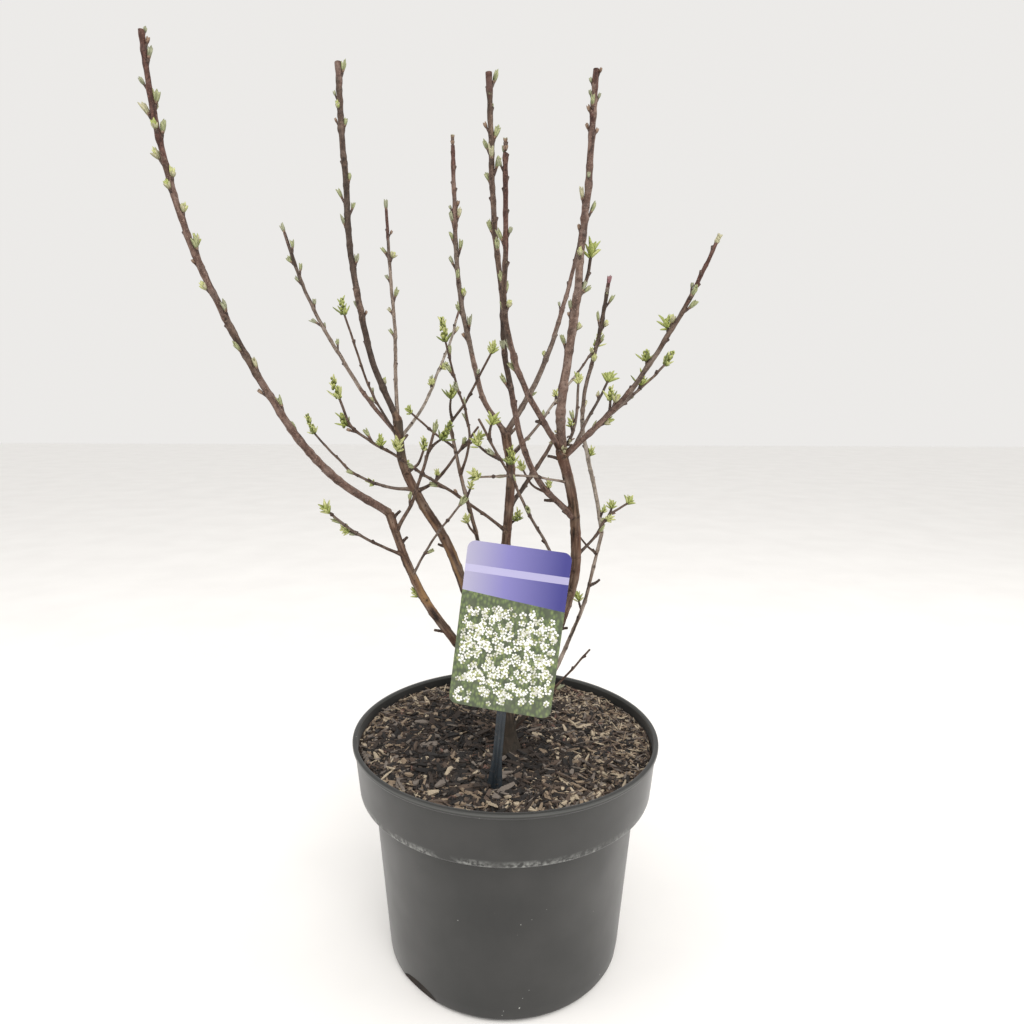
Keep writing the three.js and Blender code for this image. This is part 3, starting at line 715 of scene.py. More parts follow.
def build_stake(material):
    bm = bmesh.new()
    side = [(STAKE_POINT[0] / 2, -STAKE_SUNK), (STAKE_WIDTH / 2, STAKE_POINT[1] - STAKE_SUNK),
            (STAKE_FOOT_WIDTH / 2, 0), (STAKE_WIDTH / 2, STAKE_FLARE_TOP), (STAKE_WIDTH / 2, STAKE_HEAD[1]),
            (STAKE_HEAD[0] / 2, STAKE_HEAD[1] + STAKE_HEAD[2]), (STAKE_HEAD[0] / 2, STAKE_LENGTH)]
    outline = side + [(-x, y) for x, y in reversed(side)]
    face = bm.faces.new([bm.verts.new((x * MM, y * MM, -STAKE_THICK / 2 * MM)) for x, y in outline])
    grown = bmesh.ops.extrude_face_region(bm, geom=[face], use_keep_orig=True)["geom"]
    front = [item for item in grown if isinstance(item, bmesh.types.BMVert)]
    bmesh.ops.translate(bm, verts=front, vec=(0, 0, STAKE_THICK * MM))
    bmesh.ops.recalc_face_normals(bm, faces=bm.faces)
    bevel(bm, bm.edges[:], 0.5)
    rib_length = STAKE_HEAD[1] - 4
    rib = bmesh.ops.create_cube(bm, size=1, matrix=Matrix.Translation(
        (0, rib_length / 2 * MM, STAKE_THICK / 2 * MM)) @ Matrix.Diagonal(
        (RIB_WIDTH * MM, rib_length * MM, 2 * RIB_HEIGHT * MM, 1)))["verts"]
    edges = list({edge for vert in rib for edge in vert.link_edges})
    bevel(bm, edges, 0.35)
    bmesh.ops.rotate(bm, verts=bm.verts, cent=(0, 0, 0), matrix=Matrix.Rotation(STAKE_ROLL, 3, "Z"))
    bmesh.ops.transform(bm, verts=bm.verts, matrix=label_place)
    stake = finish_piece("label_post", bm, material)
    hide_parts("label_stake")
    return stake


def stake_plastic():
    made, tree, shader = new_material("slate_plastic", roughness=0.42)
    clouds = patches(tree, 9, 0.35, 0.65, 3)
    colour = mix_colours(tree, clouds, (0.011, 0.017, 0.023), (0.020, 0.028, 0.036))
    paint(shader, blotch(tree, colour, (0.09, 0.075, 0.06), 0.35, 2.2, 0.55, 0.7, 4))
    add_bump(tree, shader, grain(tree, 0.6, 3.0), 0.3, 0.05)
    return made


stake = build_stake(stake_plastic())
print("stake:", len(stake.data.polygons), "faces")

# %% [markdown]
# The card is thin printed plastic with round corners, bowed slightly backwards at its sides. A
# rectangle whose corners are bevelled gives the outline. It is cut into strips so that it can
# bow, and extruded to its thickness. The print is a plain design of this file's own: a violet
# head with a paler stripe above a green field. It is laid out in the card's own UV map, so it
# bends with the card.

# %% Card
CARD_SIZE = (76, 122)
CARD_THICK = 0.6
CARD_CORNER = 6
CARD_MIDDLE = 121
CARD_ROLL = -6 * DEGREE
CARD_BOW = 0.55              # how far its sides bow back
CARD_REST = 0.2              # how far its middle stands off the stake
CARD_STRIPS = 12
card_place = (label_place @ Matrix.Translation((
    -math.sin(STAKE_ROLL) * CARD_MIDDLE * MM, math.cos(STAKE_ROLL) * CARD_MIDDLE * MM,
    (STAKE_THICK / 2 + CLEARANCE) * MM)) @ Matrix.Rotation(CARD_ROLL, 4, "Z"))


def bowed(x, z):
    """The height of a card point over the stake once the card is bowed, in millimetres."""
    return z + CARD_REST - CARD_BOW * (2 * x / CARD_SIZE[0]) ** 2


def build_card(front, back):
    bm = bmesh.new()
    width, height = CARD_SIZE[0] * MM, CARD_SIZE[1] * MM
    bmesh.ops.create_grid(bm, x_segments=1, y_segments=1, size=0.5,
                          matrix=Matrix.Diagonal((width, height, 1, 1)))
    bevel(bm, bm.verts[:], CARD_CORNER, 8, "VERTICES")
    for k in range(1, CARD_STRIPS):
        bmesh.ops.bisect_plane(bm, geom=bm.verts[:] + bm.edges[:] + bm.faces[:], dist=1e-7,
                               plane_co=((k / CARD_STRIPS - 0.5) * width, 0, 0), plane_no=(1, 0, 0))
    grown = bmesh.ops.extrude_face_region(bm, geom=bm.faces[:], use_keep_orig=True)["geom"]
    top = [item for item in grown if isinstance(item, bmesh.types.BMVert)]
    bmesh.ops.translate(bm, verts=top, vec=(0, 0, CARD_THICK * MM))
    bmesh.ops.recalc_face_normals(bm, faces=bm.faces)
    chart = bm.loops.layers.uv.new("print")
    for face in bm.faces:
        face.material_index = 0 if face.normal.z > 0.5 else 1
        for loop in face.loops:
            loop[chart].uv = (loop.vert.co.x / width + 0.5, loop.vert.co.y / height + 0.5)
    for vert in bm.verts:
        vert.co.z = bowed(vert.co.x / MM, vert.co.z / MM) * MM
    bmesh.ops.transform(bm, verts=bm.verts, matrix=card_place)
    card = finish_piece("picture_card", bm, front)
    card.data.materials.append(back)
    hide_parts("label_card")
    return card


HEAD_FOOT = 0.70             # share of the card's height where the violet head ends, at its left
HEAD_SLOPE = 0.05            # how much lower it ends at its right
STRIPE = (0.835, 0.022)      # middle and half height of the paler stripe


def printed_front():
    made, tree, shader = new_material("printed_card", roughness=0.32)
    chart = add_node(tree, "ShaderNodeUVMap", uv_map="print")
    place = add_node(tree, "ShaderNodeSeparateXYZ", {"Vector": chart.outputs["UV"]})
    across, up = place.outputs["X"], place.outputs["Y"]
    head = add_ramp(tree, across, [
        (0.0, (0.41, 0.395, 0.54)), (0.4, (0.21, 0.195, 0.46)), (0.95, (0.040, 0.038, 0.22))])
    away = calculate(tree, "ABSOLUTE", calculate(tree, "SUBTRACT", up, STRIPE[0]))
    stripe = calculate(tree, "LESS_THAN", away, STRIPE[1])
    head = mix_colours(tree, times(tree, stripe, 0.75), head, (0.50, 0.48, 0.70))
    spots = add_node(tree, "ShaderNodeTexVoronoi", {"Vector": chart.outputs["UV"], "Scale": 34.0})
    leaf = add_ramp(tree, spots.outputs["Distance"], [
        (0.0, (0.24, 0.30, 0.08)), (0.35, (0.09, 0.14, 0.04)), (0.7, (0.018, 0.030, 0.014))])
    cloud = add_node(tree, "ShaderNodeTexNoise",
                     {"Vector": chart.outputs["UV"], "Scale": 9.0, "Detail": 4.0})
    leaf = mix_colours(tree, times(tree, cloud.outputs["Fac"], 0.55), leaf, (0.22, 0.25, 0.15))
    slope = calculate(tree, "MULTIPLY_ADD", across, HEAD_SLOPE, up)
    colour = mix_colours(tree, calculate(tree, "GREATER_THAN", slope, HEAD_FOOT), leaf, head)
    paint(shader, colour)
    shader.inputs["Coat Weight"].default_value = 0.25
    add_bump(tree, shader, grain(tree, 6.0, 1.0), 0.1, 0.1)
    return made


def card_back():
    made, tree, shader = new_material("card_back", roughness=0.4)
    colour = mix_colours(tree, patches(tree, 12, 0.3, 0.7, 3), (0.66, 0.66, 0.68), (0.74, 0.74, 0.75))
    paint(shader, colour)
    return made


card = build_card(printed_front(), card_back())
print("card:", len(card.data.polygons), "faces")

# %% [markdown]
# The printed flowers are plain ones with five round petals. To keep them crisp in any copy of
# the model they are thin shapes just above the card's face, and not an image. They stand in
# loose slanting rows of bunches. Each flower lies a hair higher than the one before, so no two
# faces share a plane.

# %% Printed flowers
BUNCHES = 24
SEATS = 4                    # bunches in a row
FIRST_BUNCH = (-30, -52)
BUNCH_STEP = (20, 17)        # from seat to seat, and from row to row
ROW_SHIFT = 6                # how far every other row is shifted
SEAT_RISE = 3.5
PRINT_MARGIN = 3.6
FLOWERS_IN_BUNCH = 26
BUNCH_SPREAD = 6.4
FLOWER_RADIUS = (1.7, 3.1)
INK_THICK = 0.03
INK_STEP = 0.0006


def flower_pattern():
    """Five petals and a middle, 1 in radius: points, triangles and each triangle's ink."""
    bm = bmesh.new()
    for k in range(5):
        turn = Matrix.Rotation(k * 2 * math.pi / 5, 4, "Z")
        bmesh.ops.create_cone(bm, cap_ends=True, segments=7, radius1=0.34, radius2=0.34, depth=1,
                              matrix=turn @ Matrix.Translation((0.62, 0, 0.004 * k)))
    petals = len(bm.faces)
    bmesh.ops.create_cone(bm, cap_ends=True, segments=6, radius1=0.2, radius2=0.2, depth=1.06)
    bm.faces.ensure_lookup_table()
    for index, face in enumerate(bm.faces):
        face.material_index = 0 if index < petals else 1
    bmesh.ops.recalc_face_normals(bm, faces=bm.faces)
    bmesh.ops.triangulate(bm, faces=bm.faces)
    points = np.array([vert.co for vert in bm.verts])
    faces = np.array([[vert.index for vert in face.verts] for face in bm.faces])
    inks = np.array([face.material_index for face in bm.faces])
    bm.free()
    return points, faces, inks


def printed_flowers():
    chance = np.random.default_rng(5)
    points, faces, inks = flower_pattern()
    heap = Heap()
    place = np.array(card_place)
    half_width, half_height = (side / 2 - PRINT_MARGIN for side in CARD_SIZE)
    head_edge = ((HEAD_FOOT - HEAD_SLOPE) - 0.5) * CARD_SIZE[1] - 3
    count = 0
    for bunch in range(BUNCHES):
        line, seat = divmod(bunch, SEATS)
        bunch_x = FIRST_BUNCH[0] + BUNCH_STEP[0] * seat + ROW_SHIFT * (line % 2) + chance.normal(0, 2)
        bunch_y = FIRST_BUNCH[1] + BUNCH_STEP[1] * line + SEAT_RISE * seat + chance.normal(0, 2)
        for _ in range(FLOWERS_IN_BUNCH):
            x, y = chance.normal((bunch_x, bunch_y), BUNCH_SPREAD)
            radius = chance.uniform(*FLOWER_RADIUS)
            spin = chance.uniform(0, 2 * math.pi)
            white = int(chance.random() < 0.3)
            if abs(x) > half_width or y < -half_height or y > head_edge:
                continue
            count += 1
            flat = points * (radius, radius, INK_THICK)
            cos, sin = math.cos(spin), math.sin(spin)
            turned = np.column_stack((flat[:, 0] * cos - flat[:, 1] * sin + x,
                                      flat[:, 0] * sin + flat[:, 1] * cos + y,
                                      flat[:, 2] + CARD_THICK + 0.02 + INK_STEP * count))
            turned[:, 2] = bowed(turned[:, 0], turned[:, 2])
            in_frame = (turned * MM) @ place[:3, :3].T + place[:3, 3]
            heap.add(in_frame / MM, faces, np.where(inks == 0, white, 2))
    materials = [printed_ink("white_ink", (0.86, 0.86, 0.83)),
                 printed_ink("cream_ink", (0.62, 0.62, 0.55)),
                 printed_ink("green_ink", (0.33, 0.36, 0.14))]
    return heap.build("card_flowers", materials, "label_card", smooth=False)


def printed_ink(name, colour):
    made, tree, shader = new_material(name, roughness=0.35)
    clouds = patches(tree, 4, 0.3, 0.7, 2)
    paint(shader, mix_colours(tree, clouds, shade(colour, 0.9), shade(colour, 1.08)))
    return made


printed_flowers()

# %% [markdown]
# The shrub grows by the same rule as the solids. Each limb leaves a carrier at a share of the
# carrier's line and runs to its tip through stations that bow it sideways and backwards. Its
# diameters are given at foot and tip. The table lists every limb in the order of the solids,
# since that order seeds the dice. A limb with tufts carries short spurs: (share, reach), where
# a positive reach is to the right. A limb has a node of its own, but for five side shoots that
# share their carrier's.

# %% Table of limbs
BOUGHS = ("left", "inner", "centre", "right", "slim", "rear")
SHARED = ("inner_straight", "right_whip_side", "right_cross_side", "right_arm_back", "right_arm_side")


def row(on, at, tip, thick, bow=(0,), back=0, end=None, tufts=()):
    """A limb on its carrier at a share: tip, diameters, sideways bows, backward bow, end, tufts."""
    return dict(on=on, at=at, tip=tip, thick=thick, bow=bow, back=back, end=end, tufts=tufts)


LIMBS = {
    "trunk": row(None, 0, (-1, -15, 226), (16, 13.5)),
    "left": row("trunk", 1, (-87, -40, 388), (8, 6), (-2, -7, -10, -7), back=-6),
    "inner": row("trunk", 1, (-88, 22, 454), (9.4, 7.2), (1, 1, 2, 1, -6, -9), back=8),
    "centre": row("trunk", 1, (-1, 2, 444), (8.4, 7), (0, 0, -1, 0, 1, 3, 4)),
    "right": row("trunk", 1, (39, -35, 433), (9, 7.6), (17, 26, 30, 31, 25, 15)),
    "slim": row("trunk", 1, (-44, -8, 452), (4.6, 2.8), (2, 3, 4, 1)),
    "rear": row("trunk", 0.32, (82, 34, 360), (4.2, 3), (13, 17, 17, 15, 8), back=14),

    "left_whip": row("left", 1, (-211, -95, 673), (6, 3), (-20, -30, -33, -34, -33, -30, -23, -13),
        back=-14),
    "left_upright": row("left", 0.92, (-51, -68, 447), (2.8, 2), (3, 2), end="bud", tufts=[(0.84, 16)]),
    "left_low": row("left", 0.82, (-124, -73, 394), (2.5, 1.6), (-3, -3), end="tuft", tufts=[(0.6, -11)]),
    "left_fine": row("left", 0.73, (-33, -82, 400), (1.9, 1.5), (-2,), end="bud"),

    "inner_whip": row("inner", 1, (-134, 70, 729), (5.1, 4.7), (-12, -15, -15, -10, -6)),
    "inner_dark": row("inner", 0.94, (-121, -8, 531), (2.1, 1.6), (-3, -5, -4, -2), end="tuft"),
    "inner_straight": row("inner_whip", 0, (-106, 113, 634), (3.2, 2.7), (-1, 0, -1, -1), back=14,
        end="bud"),
    "inner_outer": row("inner", 0.95, (-201, 128, 618), (3.6, 2.9), (-9, -12, -13, -9), back=12,
        end="bud"),
    "inner_pale": row("inner", 0.94, (-43, 117, 550), (2.7, 2.1), (6, 5, 4), back=8, end="bud",
        tufts=[(0.4, -6), (0.53, 8)]),
    "inner_low": row("inner", 0.77, (-164, 54, 442), (2.8, 1.8), (-7, -11, -13, -13, -9, -5), end="tuft",
        tufts=[(0.31, -8), (0.88, 14)]),
    "inner_broken": row("inner", 0.76, (-23, 30, 449), (2.8, 1.8), (5, 5, 3, 2),
        tufts=[(0.26, -8), (0.7, 18)]),
    "inner_spur": row("inner", 0.83, (-66, 8, 431), (2.6, 2), (3,), end="tuft"),

    "slim_top": row("slim", 1, (-12, -19, 504), (2.1, 1.6), (2, 1), end="tuft", tufts=[(0.06, -20)]),
    "slim_side": row("slim", 0.92, (-71, -33, 461), (1.9, 1.5), (-1,), end="tuft"),
    "slim_front": row("slim", 0.83, (-44, -44, 509), (2.1, 1.5), (7, 10, 9, 5, 2), end="tuft"),
    "slim_low": row("slim", 0.62, (-31, -16, 378), (1.8, 1.5), (-1,), end="tuft"),

    "centre_long": row("centre", 0.65, (-116, -59, 470), (2.6, 1.8), (0, -1, -2, -4, -6, -7, -10, -10),
        end="tuft", tufts=[(0.64, 11), (0.73, 6), (0.87, -10)]),
    "centre_left": row("centre", 1, (-40, -5, 645), (4.2, 2.8), (-12, -14, -15, -14, -10, -5)),
    "centre_right": row("centre", 1, (67, 108, 618), (4.7, 3.2), (7, 10, 8, 5), back=12, end="bud"),
    "centre_pale": row("centre", 0.92, (84, 122, 520), (2.6, 1.9), (3, 2, 2), back=8, end="tuft",
        tufts=[(0.49, -8)]),
    "centre_dark": row("centre", 0.74, (42, 60, 438), (3.8, 3.2), (1, 1)),

    "right_whip": row("right", 1, (55, -40, 678), (6.9, 3.7), (-3, -1, 1, 1, 2, 1)),
    "right_whip_side": row("right_whip", 0.42, (56, -36, 566), (2.4, 2.2), (2,), end="tuft"),
    "right_front": row("right", 1, (-4, -108, 606), (4.4, 2.8), (-9, -17, -20, -19, -12, -6), back=-8,
        end="bud"),
    "right_cross": row("right", 0.78, (-14, -70, 663), (4.5, 3.2), (-20, -27, -27, -26, -20, -17, -12, -6),
        back=-6, tufts=[(0.08, 8)]),
    "right_cross_side": row("right_cross", 0.08, (11, -31, 420), (1.8, 1.5), (-4,), end="tuft"),
    "right_short": row("right", 1, (54, -2, 483), (2.6, 2), (4, 5, 4, 2), end="tuft", tufts=[(0.32, -9)]),
    "right_arm": row("right", 0.98, (123, -98, 562), (4.4, 2.2), (6, 10, 9, 6), back=-8, end="bud",
        tufts=[(0.27, -12), (0.5, -8), (0.64, -9)]),
    "right_arm_back": row("right_arm", 0.07, (85, 52, 486), (2.9, 2.1), (-1, 0), end="tuft"),
    "right_arm_side": row("right_arm", 0.24, (114, -22, 495), (2.4, 1.8), (1, 1, 1), end="tuft",
        tufts=[(0.56, -7)]),
    "right_level": row("right", 0.9, (-21, -73, 418), (1.8, 1.5), (3,), end="tuft"),
    "right_hook": row("right", 0.5, (-20, -85, 457), (2.5, 1.6), (1, 1, 0, 1, 0),
        tufts=[(0.7, 13), (0.8, -22), (0.9, 15)]),
    "right_low": row("right", 0.64, (100, 18, 388), (2.5, 1.8), (0, -4), end="tuft",
        tufts=[(0.58, 6), (0.68, -11)]),

    "rear_top": row("rear", 1, (84, 62, 565), (3.5, 3.2), (-5, -12, -18, -17, -10, -4), back=4, end="bud",
        tufts=[(0.06, 10), (0.3, 8)]),
    "rear_side": row("rear", 0.9, (63, 32, 357), (1.9, 1.5), (-1,), end="bud"),

    "low_shoot": row("trunk", 0.28, (68, -15, 273), (2.3, 1.7), (1, 1)),
}
print(len(LIMBS), "limbs")

# %% [markdown]
# A limb's line is a uniform Catmull-Rom curve through its foot, stations and tip. The frame at
# a share of it has three directions: along the limb, to the right of it and away. Boughs swell
# at their tips, where the one-year twigs leave in a fork, and the trunk flares at its foot.

# %% Growing the limbs
TRUNK_FLARE = (0.45, 0.22)   # gain at the foot, and the share of the length that it fades over
KNOB = (0.14, 0.05)          # gain at a bough's tip, and the share of the length that it fills


def catmull_rom(stations, share):
    """Points of the curve through the stations at an array of shares."""
    spans = len(stations) - 1
    ends = np.vstack([2 * stations[0] - stations[1], stations, 2 * stations[-1] - stations[-2]])
    span = np.minimum((share * spans).astype(int), spans - 1)
    u = (share * spans - span)[:, None]
    before, start, stop, after = (ends[span + k] for k in range(4))
    first, last = (stop - before) / 2, (after - start) / 2
    return ((2 * start - 2 * stop + first + last) * u ** 3
            + (-3 * start + 3 * stop - 2 * first - last) * u ** 2 + first * u + start)


def unit(vectors):
    return vectors / np.linalg.norm(vectors, axis=-1, keepdims=True)


class Limb:
    """One limb: its line, its thickness, and its node in the solids."""

    def __init__(self, name, order, carrier, on, at, tip, thick, bow, back, end, tufts):
        self.name, self.order, self.carrier, self.at = name, order, on, at
        self.thick, self.end, self.tufts = thick, end, tufts
        self.is_bough = name == "trunk" or name in BOUGHS
        own = name if name == "trunk" else ("bough_" if self.is_bough else "twigs_") + name
        self.node = carrier.node if name in SHARED else own
        foot = carrier.points(at)[0] if carrier else np.array(TRUNK_FOOT)
        tip = np.array(tip, float)
        reach = tip - foot
        right = unit(np.array((reach[2], 0, -reach[0])))
        stations = [foot]
        for k, camber in enumerate(bow):
            share = (k + 1) / (len(bow) + 1)
            stations.append(foot + share * reach + camber * right + (0, back * 4 * share * (1 - share), 0))
        self.stations = np.array(stations + [tip])
        line = self.points(np.linspace(0, 1, 201))
        self.length = float(np.linalg.norm(np.diff(line, axis=0), axis=1).sum())

    def points(self, share):
        return catmull_rom(self.stations, np.clip(np.atleast_1d(np.asarray(share, float)), 0, 1))

    def frames(self, share):
        """Points and the directions along, right and away at an array of shares."""
        share = np.atleast_1d(np.asarray(share, float))
        along = unit(self.points(share + 1e-4) - self.points(share - 1e-4))
        right = unit(np.column_stack((along[:, 2], np.zeros(len(along)), -along[:, 0])))
        return self.points(share), along, right, np.cross(along, right)

    def frame(self, share):
        return [part[0] for part in self.frames(share)]

    def radius(self, share):
        share = np.asarray(share, float)
        plain = (self.thick[0] + (self.thick[1] - self.thick[0]) * share) / 2
        if self.name == "trunk":
            return plain * (1 + TRUNK_FLARE[0] * np.exp(-share / TRUNK_FLARE[1]))
        if self.is_bough:
            return plain * (1 + KNOB[0] * np.exp(-((1 - share) / KNOB[1]) ** 2))
        return plain


def grow_limbs():
    grown = {}
    for order, (name, sizes) in enumerate(LIMBS.items()):
        grown[name] = Limb(name, order, grown.get(sizes["on"]), **sizes)
    return grown


limbs = grow_limbs()
twig_limbs = [limb for limb in limbs.values() if not limb.is_bough]
boughs = [limb for limb in limbs.values() if limb.is_bough]
print("boughs", round(sum(limb.length for limb in boughs)), "mm, twigs",
      round(sum(limb.length for limb in twig_limbs)), "mm in all")

# %% [markdown]
# Spurs, tufts and the dealt buds come from the same dice as in the solids, so they stand at the
# same places. The dice are rolled once more for each limb, in the solids' order. The result is a
# list of spots, which the cells below dress with real detail.

# %% Spots for buds and tufts
GOLDEN_TURN = 137.5 * DEGREE
FOOT_BARE = 14               # no bud grows nearer than this to a limb's foot
BUD_PITCH = 26
BUD_SEAT = 0.8
SPUR_LEAN = 42 * DEGREE
SPUR_THICK = 1.6
SPUR_RISE = 0.3
SPUR_FAN = 80 * DEGREE
LEAF_LENGTH = 10
TUFT_ROLLS = 10              # rolls of the dice that one tuft takes in the solids


def dice(seed):
    state = seed * 7919 % 2147483647
    while True:
        state = state * 48271 % 2147483647
        yield state / 2147483647


def pass_tuft(roll):
    """Lets the dice run on past a tuft, so that they stay in step with the solids'."""
    for _ in range(TUFT_ROLLS):
        next(roll)


def spun(side, other, turn):
    """The direction at a turn round a line, from the two directions across it."""
    return math.cos(turn) * side + math.sin(turn) * other


def leaning(along, right, away, lean, turn):
    """A direction that leans from along by an angle, towards a turn round it."""
    return math.cos(lean) * along + math.sin(lean) * spun(right, away, turn)


def find_spots():
    spots = []
    for limb in sorted(twig_limbs, key=lambda one: NODES.index(one.node)):
        roll = dice(limb.order + 1)
        point, along, right, away = limb.frame(1)
        if limb.end:
            spots.append(dict(kind="end_" + limb.end, limb=limb, share=1, point=point, along=along))
        if limb.end == "tuft":
            pass_tuft(roll)
        for share, reach in limb.tufts:
            point, along, right, away = limb.frame(share)
            turn = (0 if reach > 0 else math.pi) + (next(roll) - 0.5) * SPUR_FAN
            along = unit(leaning(along, right, away, SPUR_LEAN, turn) + (0, 0, SPUR_RISE))
            bare = max(SPUR_THICK, abs(reach) - LEAF_LENGTH / 2) + float(limb.radius(share))
            spots.append(dict(kind="spur", limb=limb, share=share, point=point, along=along, bare=bare))
            pass_tuft(roll)
        first = next(roll) * 2 * math.pi
        for k in range(int((limb.length - FOOT_BARE) // BUD_PITCH)):
            for half in (0.5, 1.0):
                share = (FOOT_BARE + (k + half) * BUD_PITCH) / limb.length
                turn = first + k * GOLDEN_TURN + (math.pi if half == 1.0 else 0)
                point, along, right, away = limb.frame(min(share, 1))
                out = spun(right, away, turn)
                root = point + BUD_SEAT * float(limb.radius(share)) * out
                spots.append(dict(kind="bud", limb=limb, share=share, point=root, out=out,
                                  finer=half == 1.0))
    return [spot for spot in spots if spot["share"] <= 1]


NODES = list(dict.fromkeys(limb.node for limb in limbs.values()))
spots = find_spots()
for kind in ("end_tuft", "end_bud", "spur", "bud"):
    print(kind, sum(spot["kind"] == kind for spot in spots))

# %% [markdown]
# The trunk and the six boughs become one skin. Curves with a round bevel give each limb its
# thickness, the first millimetres of every stout twig included, and a voxel remesh melts them
# together, so that the forks have smooth webs like real wood. What follows is the bark's relief:
# every point of the skin finds the nearest limb and moves in or out by long ridges, cracks,
# lumps and the rings and scars of old buds. It fades where the skin runs out along a twig.

# %% Skin of trunk and boughs
SAMPLE_PITCH = 1.0
VOXEL = 0.68
SUNK_TRUNK = 5               # how far the trunk's line goes on down into the compost
STUB = 9                     # how far the skin runs out along a twig
STUB_FROM = 2.0              # diameter from which a twig has such a stub
RIDGE = 0.17                 # heights of the bark's relief
CRACK = 0.36
LUMP = 0.24
SCAR = (0.5, 1.7)            # height and radius of an old bud's scar
SCAR_PITCH = 15
SHADED_FOOT_HEIGHTS = (212, 246)            # heights between which the painted shade on the trunk's foot, under the label card, fades out
DARK_TOP = (0.85, 0.91)      # shares of the inner bough between which its dark top begins
APART = 37                   # keeps the noise of one limb apart from the next one's
REDDENED = ["right", "right_whip", "centre", "left"]


def skin_parts():
    """Each line in the skin as limb, shares and radii: whole boughs and the feet of stout twigs."""
    parts, led = [], set()
    for limb in boughs:
        share = np.linspace(0, 1, max(12, round(limb.length / 2)))
        parts.append((limb, share, limb.radius(share)))
    for limb in twig_limbs:
        carrier = limbs[limb.carrier]
        if not carrier.is_bough or limb.thick[0] < STUB_FROM:
            continue
        leads = limb.at == 1 and carrier.name not in led
        led.add(carrier.name if leads else None)
        start = float(carrier.radius(limb.at))
        share = np.linspace(0, (STUB + (0 if leads else start)) / limb.length, 14)
        slim = 0.93 * limb.radius(share)
        gain = (start if leads else 1.4 * slim[0]) - slim[0]
        parts.append((limb, share, slim + gain * np.linspace(1, 0, 14) ** 1.6))
    return parts


def skin_lines(parts):
    """A curve object with one line for each part, bevelled to its thickness."""
    curve = bpy.data.curves.new("skin_lines", "CURVE")
    curve.dimensions = "3D"
    curve.bevel_depth = MM
    curve.bevel_resolution = 6
    curve.use_fill_caps = True
    for limb, share, radius in parts:
        line = limb.points(share)
        if limb.name == "trunk":
            line = np.vstack([line[0] - (0, 0, SUNK_TRUNK), line])
            radius = np.append(radius[0] * 1.05, radius)
        spline = curve.splines.new("POLY")
        spline.points.add(len(line) - 1)
        spline.points.foreach_set("co", np.column_stack((line * MM, np.ones(len(line)))).ravel())
        spline.points.foreach_set("radius", radius)
    return add_object("skin_lines", curve)


def melted_skin(parts):
    """The bevelled lines as one closed mesh of small even faces."""
    lines = skin_lines(parts)
    graph = bpy.context.evaluated_depsgraph_get()
    mesh = bpy.data.meshes.new_from_object(lines.evaluated_get(graph))
    bpy.data.objects.remove(lines)
    melted = add_object("bough_skin", mesh)
    remesh = melted.modifiers.new("melt", "REMESH")
    remesh.mode = "VOXEL"
    remesh.voxel_size = VOXEL * MM
    soften = melted.modifiers.new("soften", "SMOOTH")
    soften.factor = 0.5
    soften.iterations = 4
    make_final(melted)
    skin = melted.data
    bpy.data.objects.remove(melted)
    return skin


def samples_of(group, pitch):
    """Rows along limbs: limb index, share, point, and the frame at each."""
    found = []
    for index, limb in enumerate(group):
        share = np.linspace(0, 1, max(4, round(limb.length / pitch)))
        line, along, right, away = limb.frames(share)
        found.append(np.column_stack((np.full(len(share), index), share, line, along, right, away)))
    return np.vstack(found)


def tree_of(samples):
    """A search tree of the points in such rows."""
    tree = KDTree(len(samples))
    for index, place in enumerate(samples[:, 2:5]):
        tree.insert(place, index)
    tree.balance()
    return tree


def noise_at(places):
    """Smooth noise from about -1 to 1 at each row of an array."""
    return np.array([noise.noise(Vector(place)) for place in places.tolist()])


def around(angle, turn):
    """How far angles are from a turn, either way round."""
    return np.abs((angle - turn + math.pi) % (2 * math.pi) - math.pi)


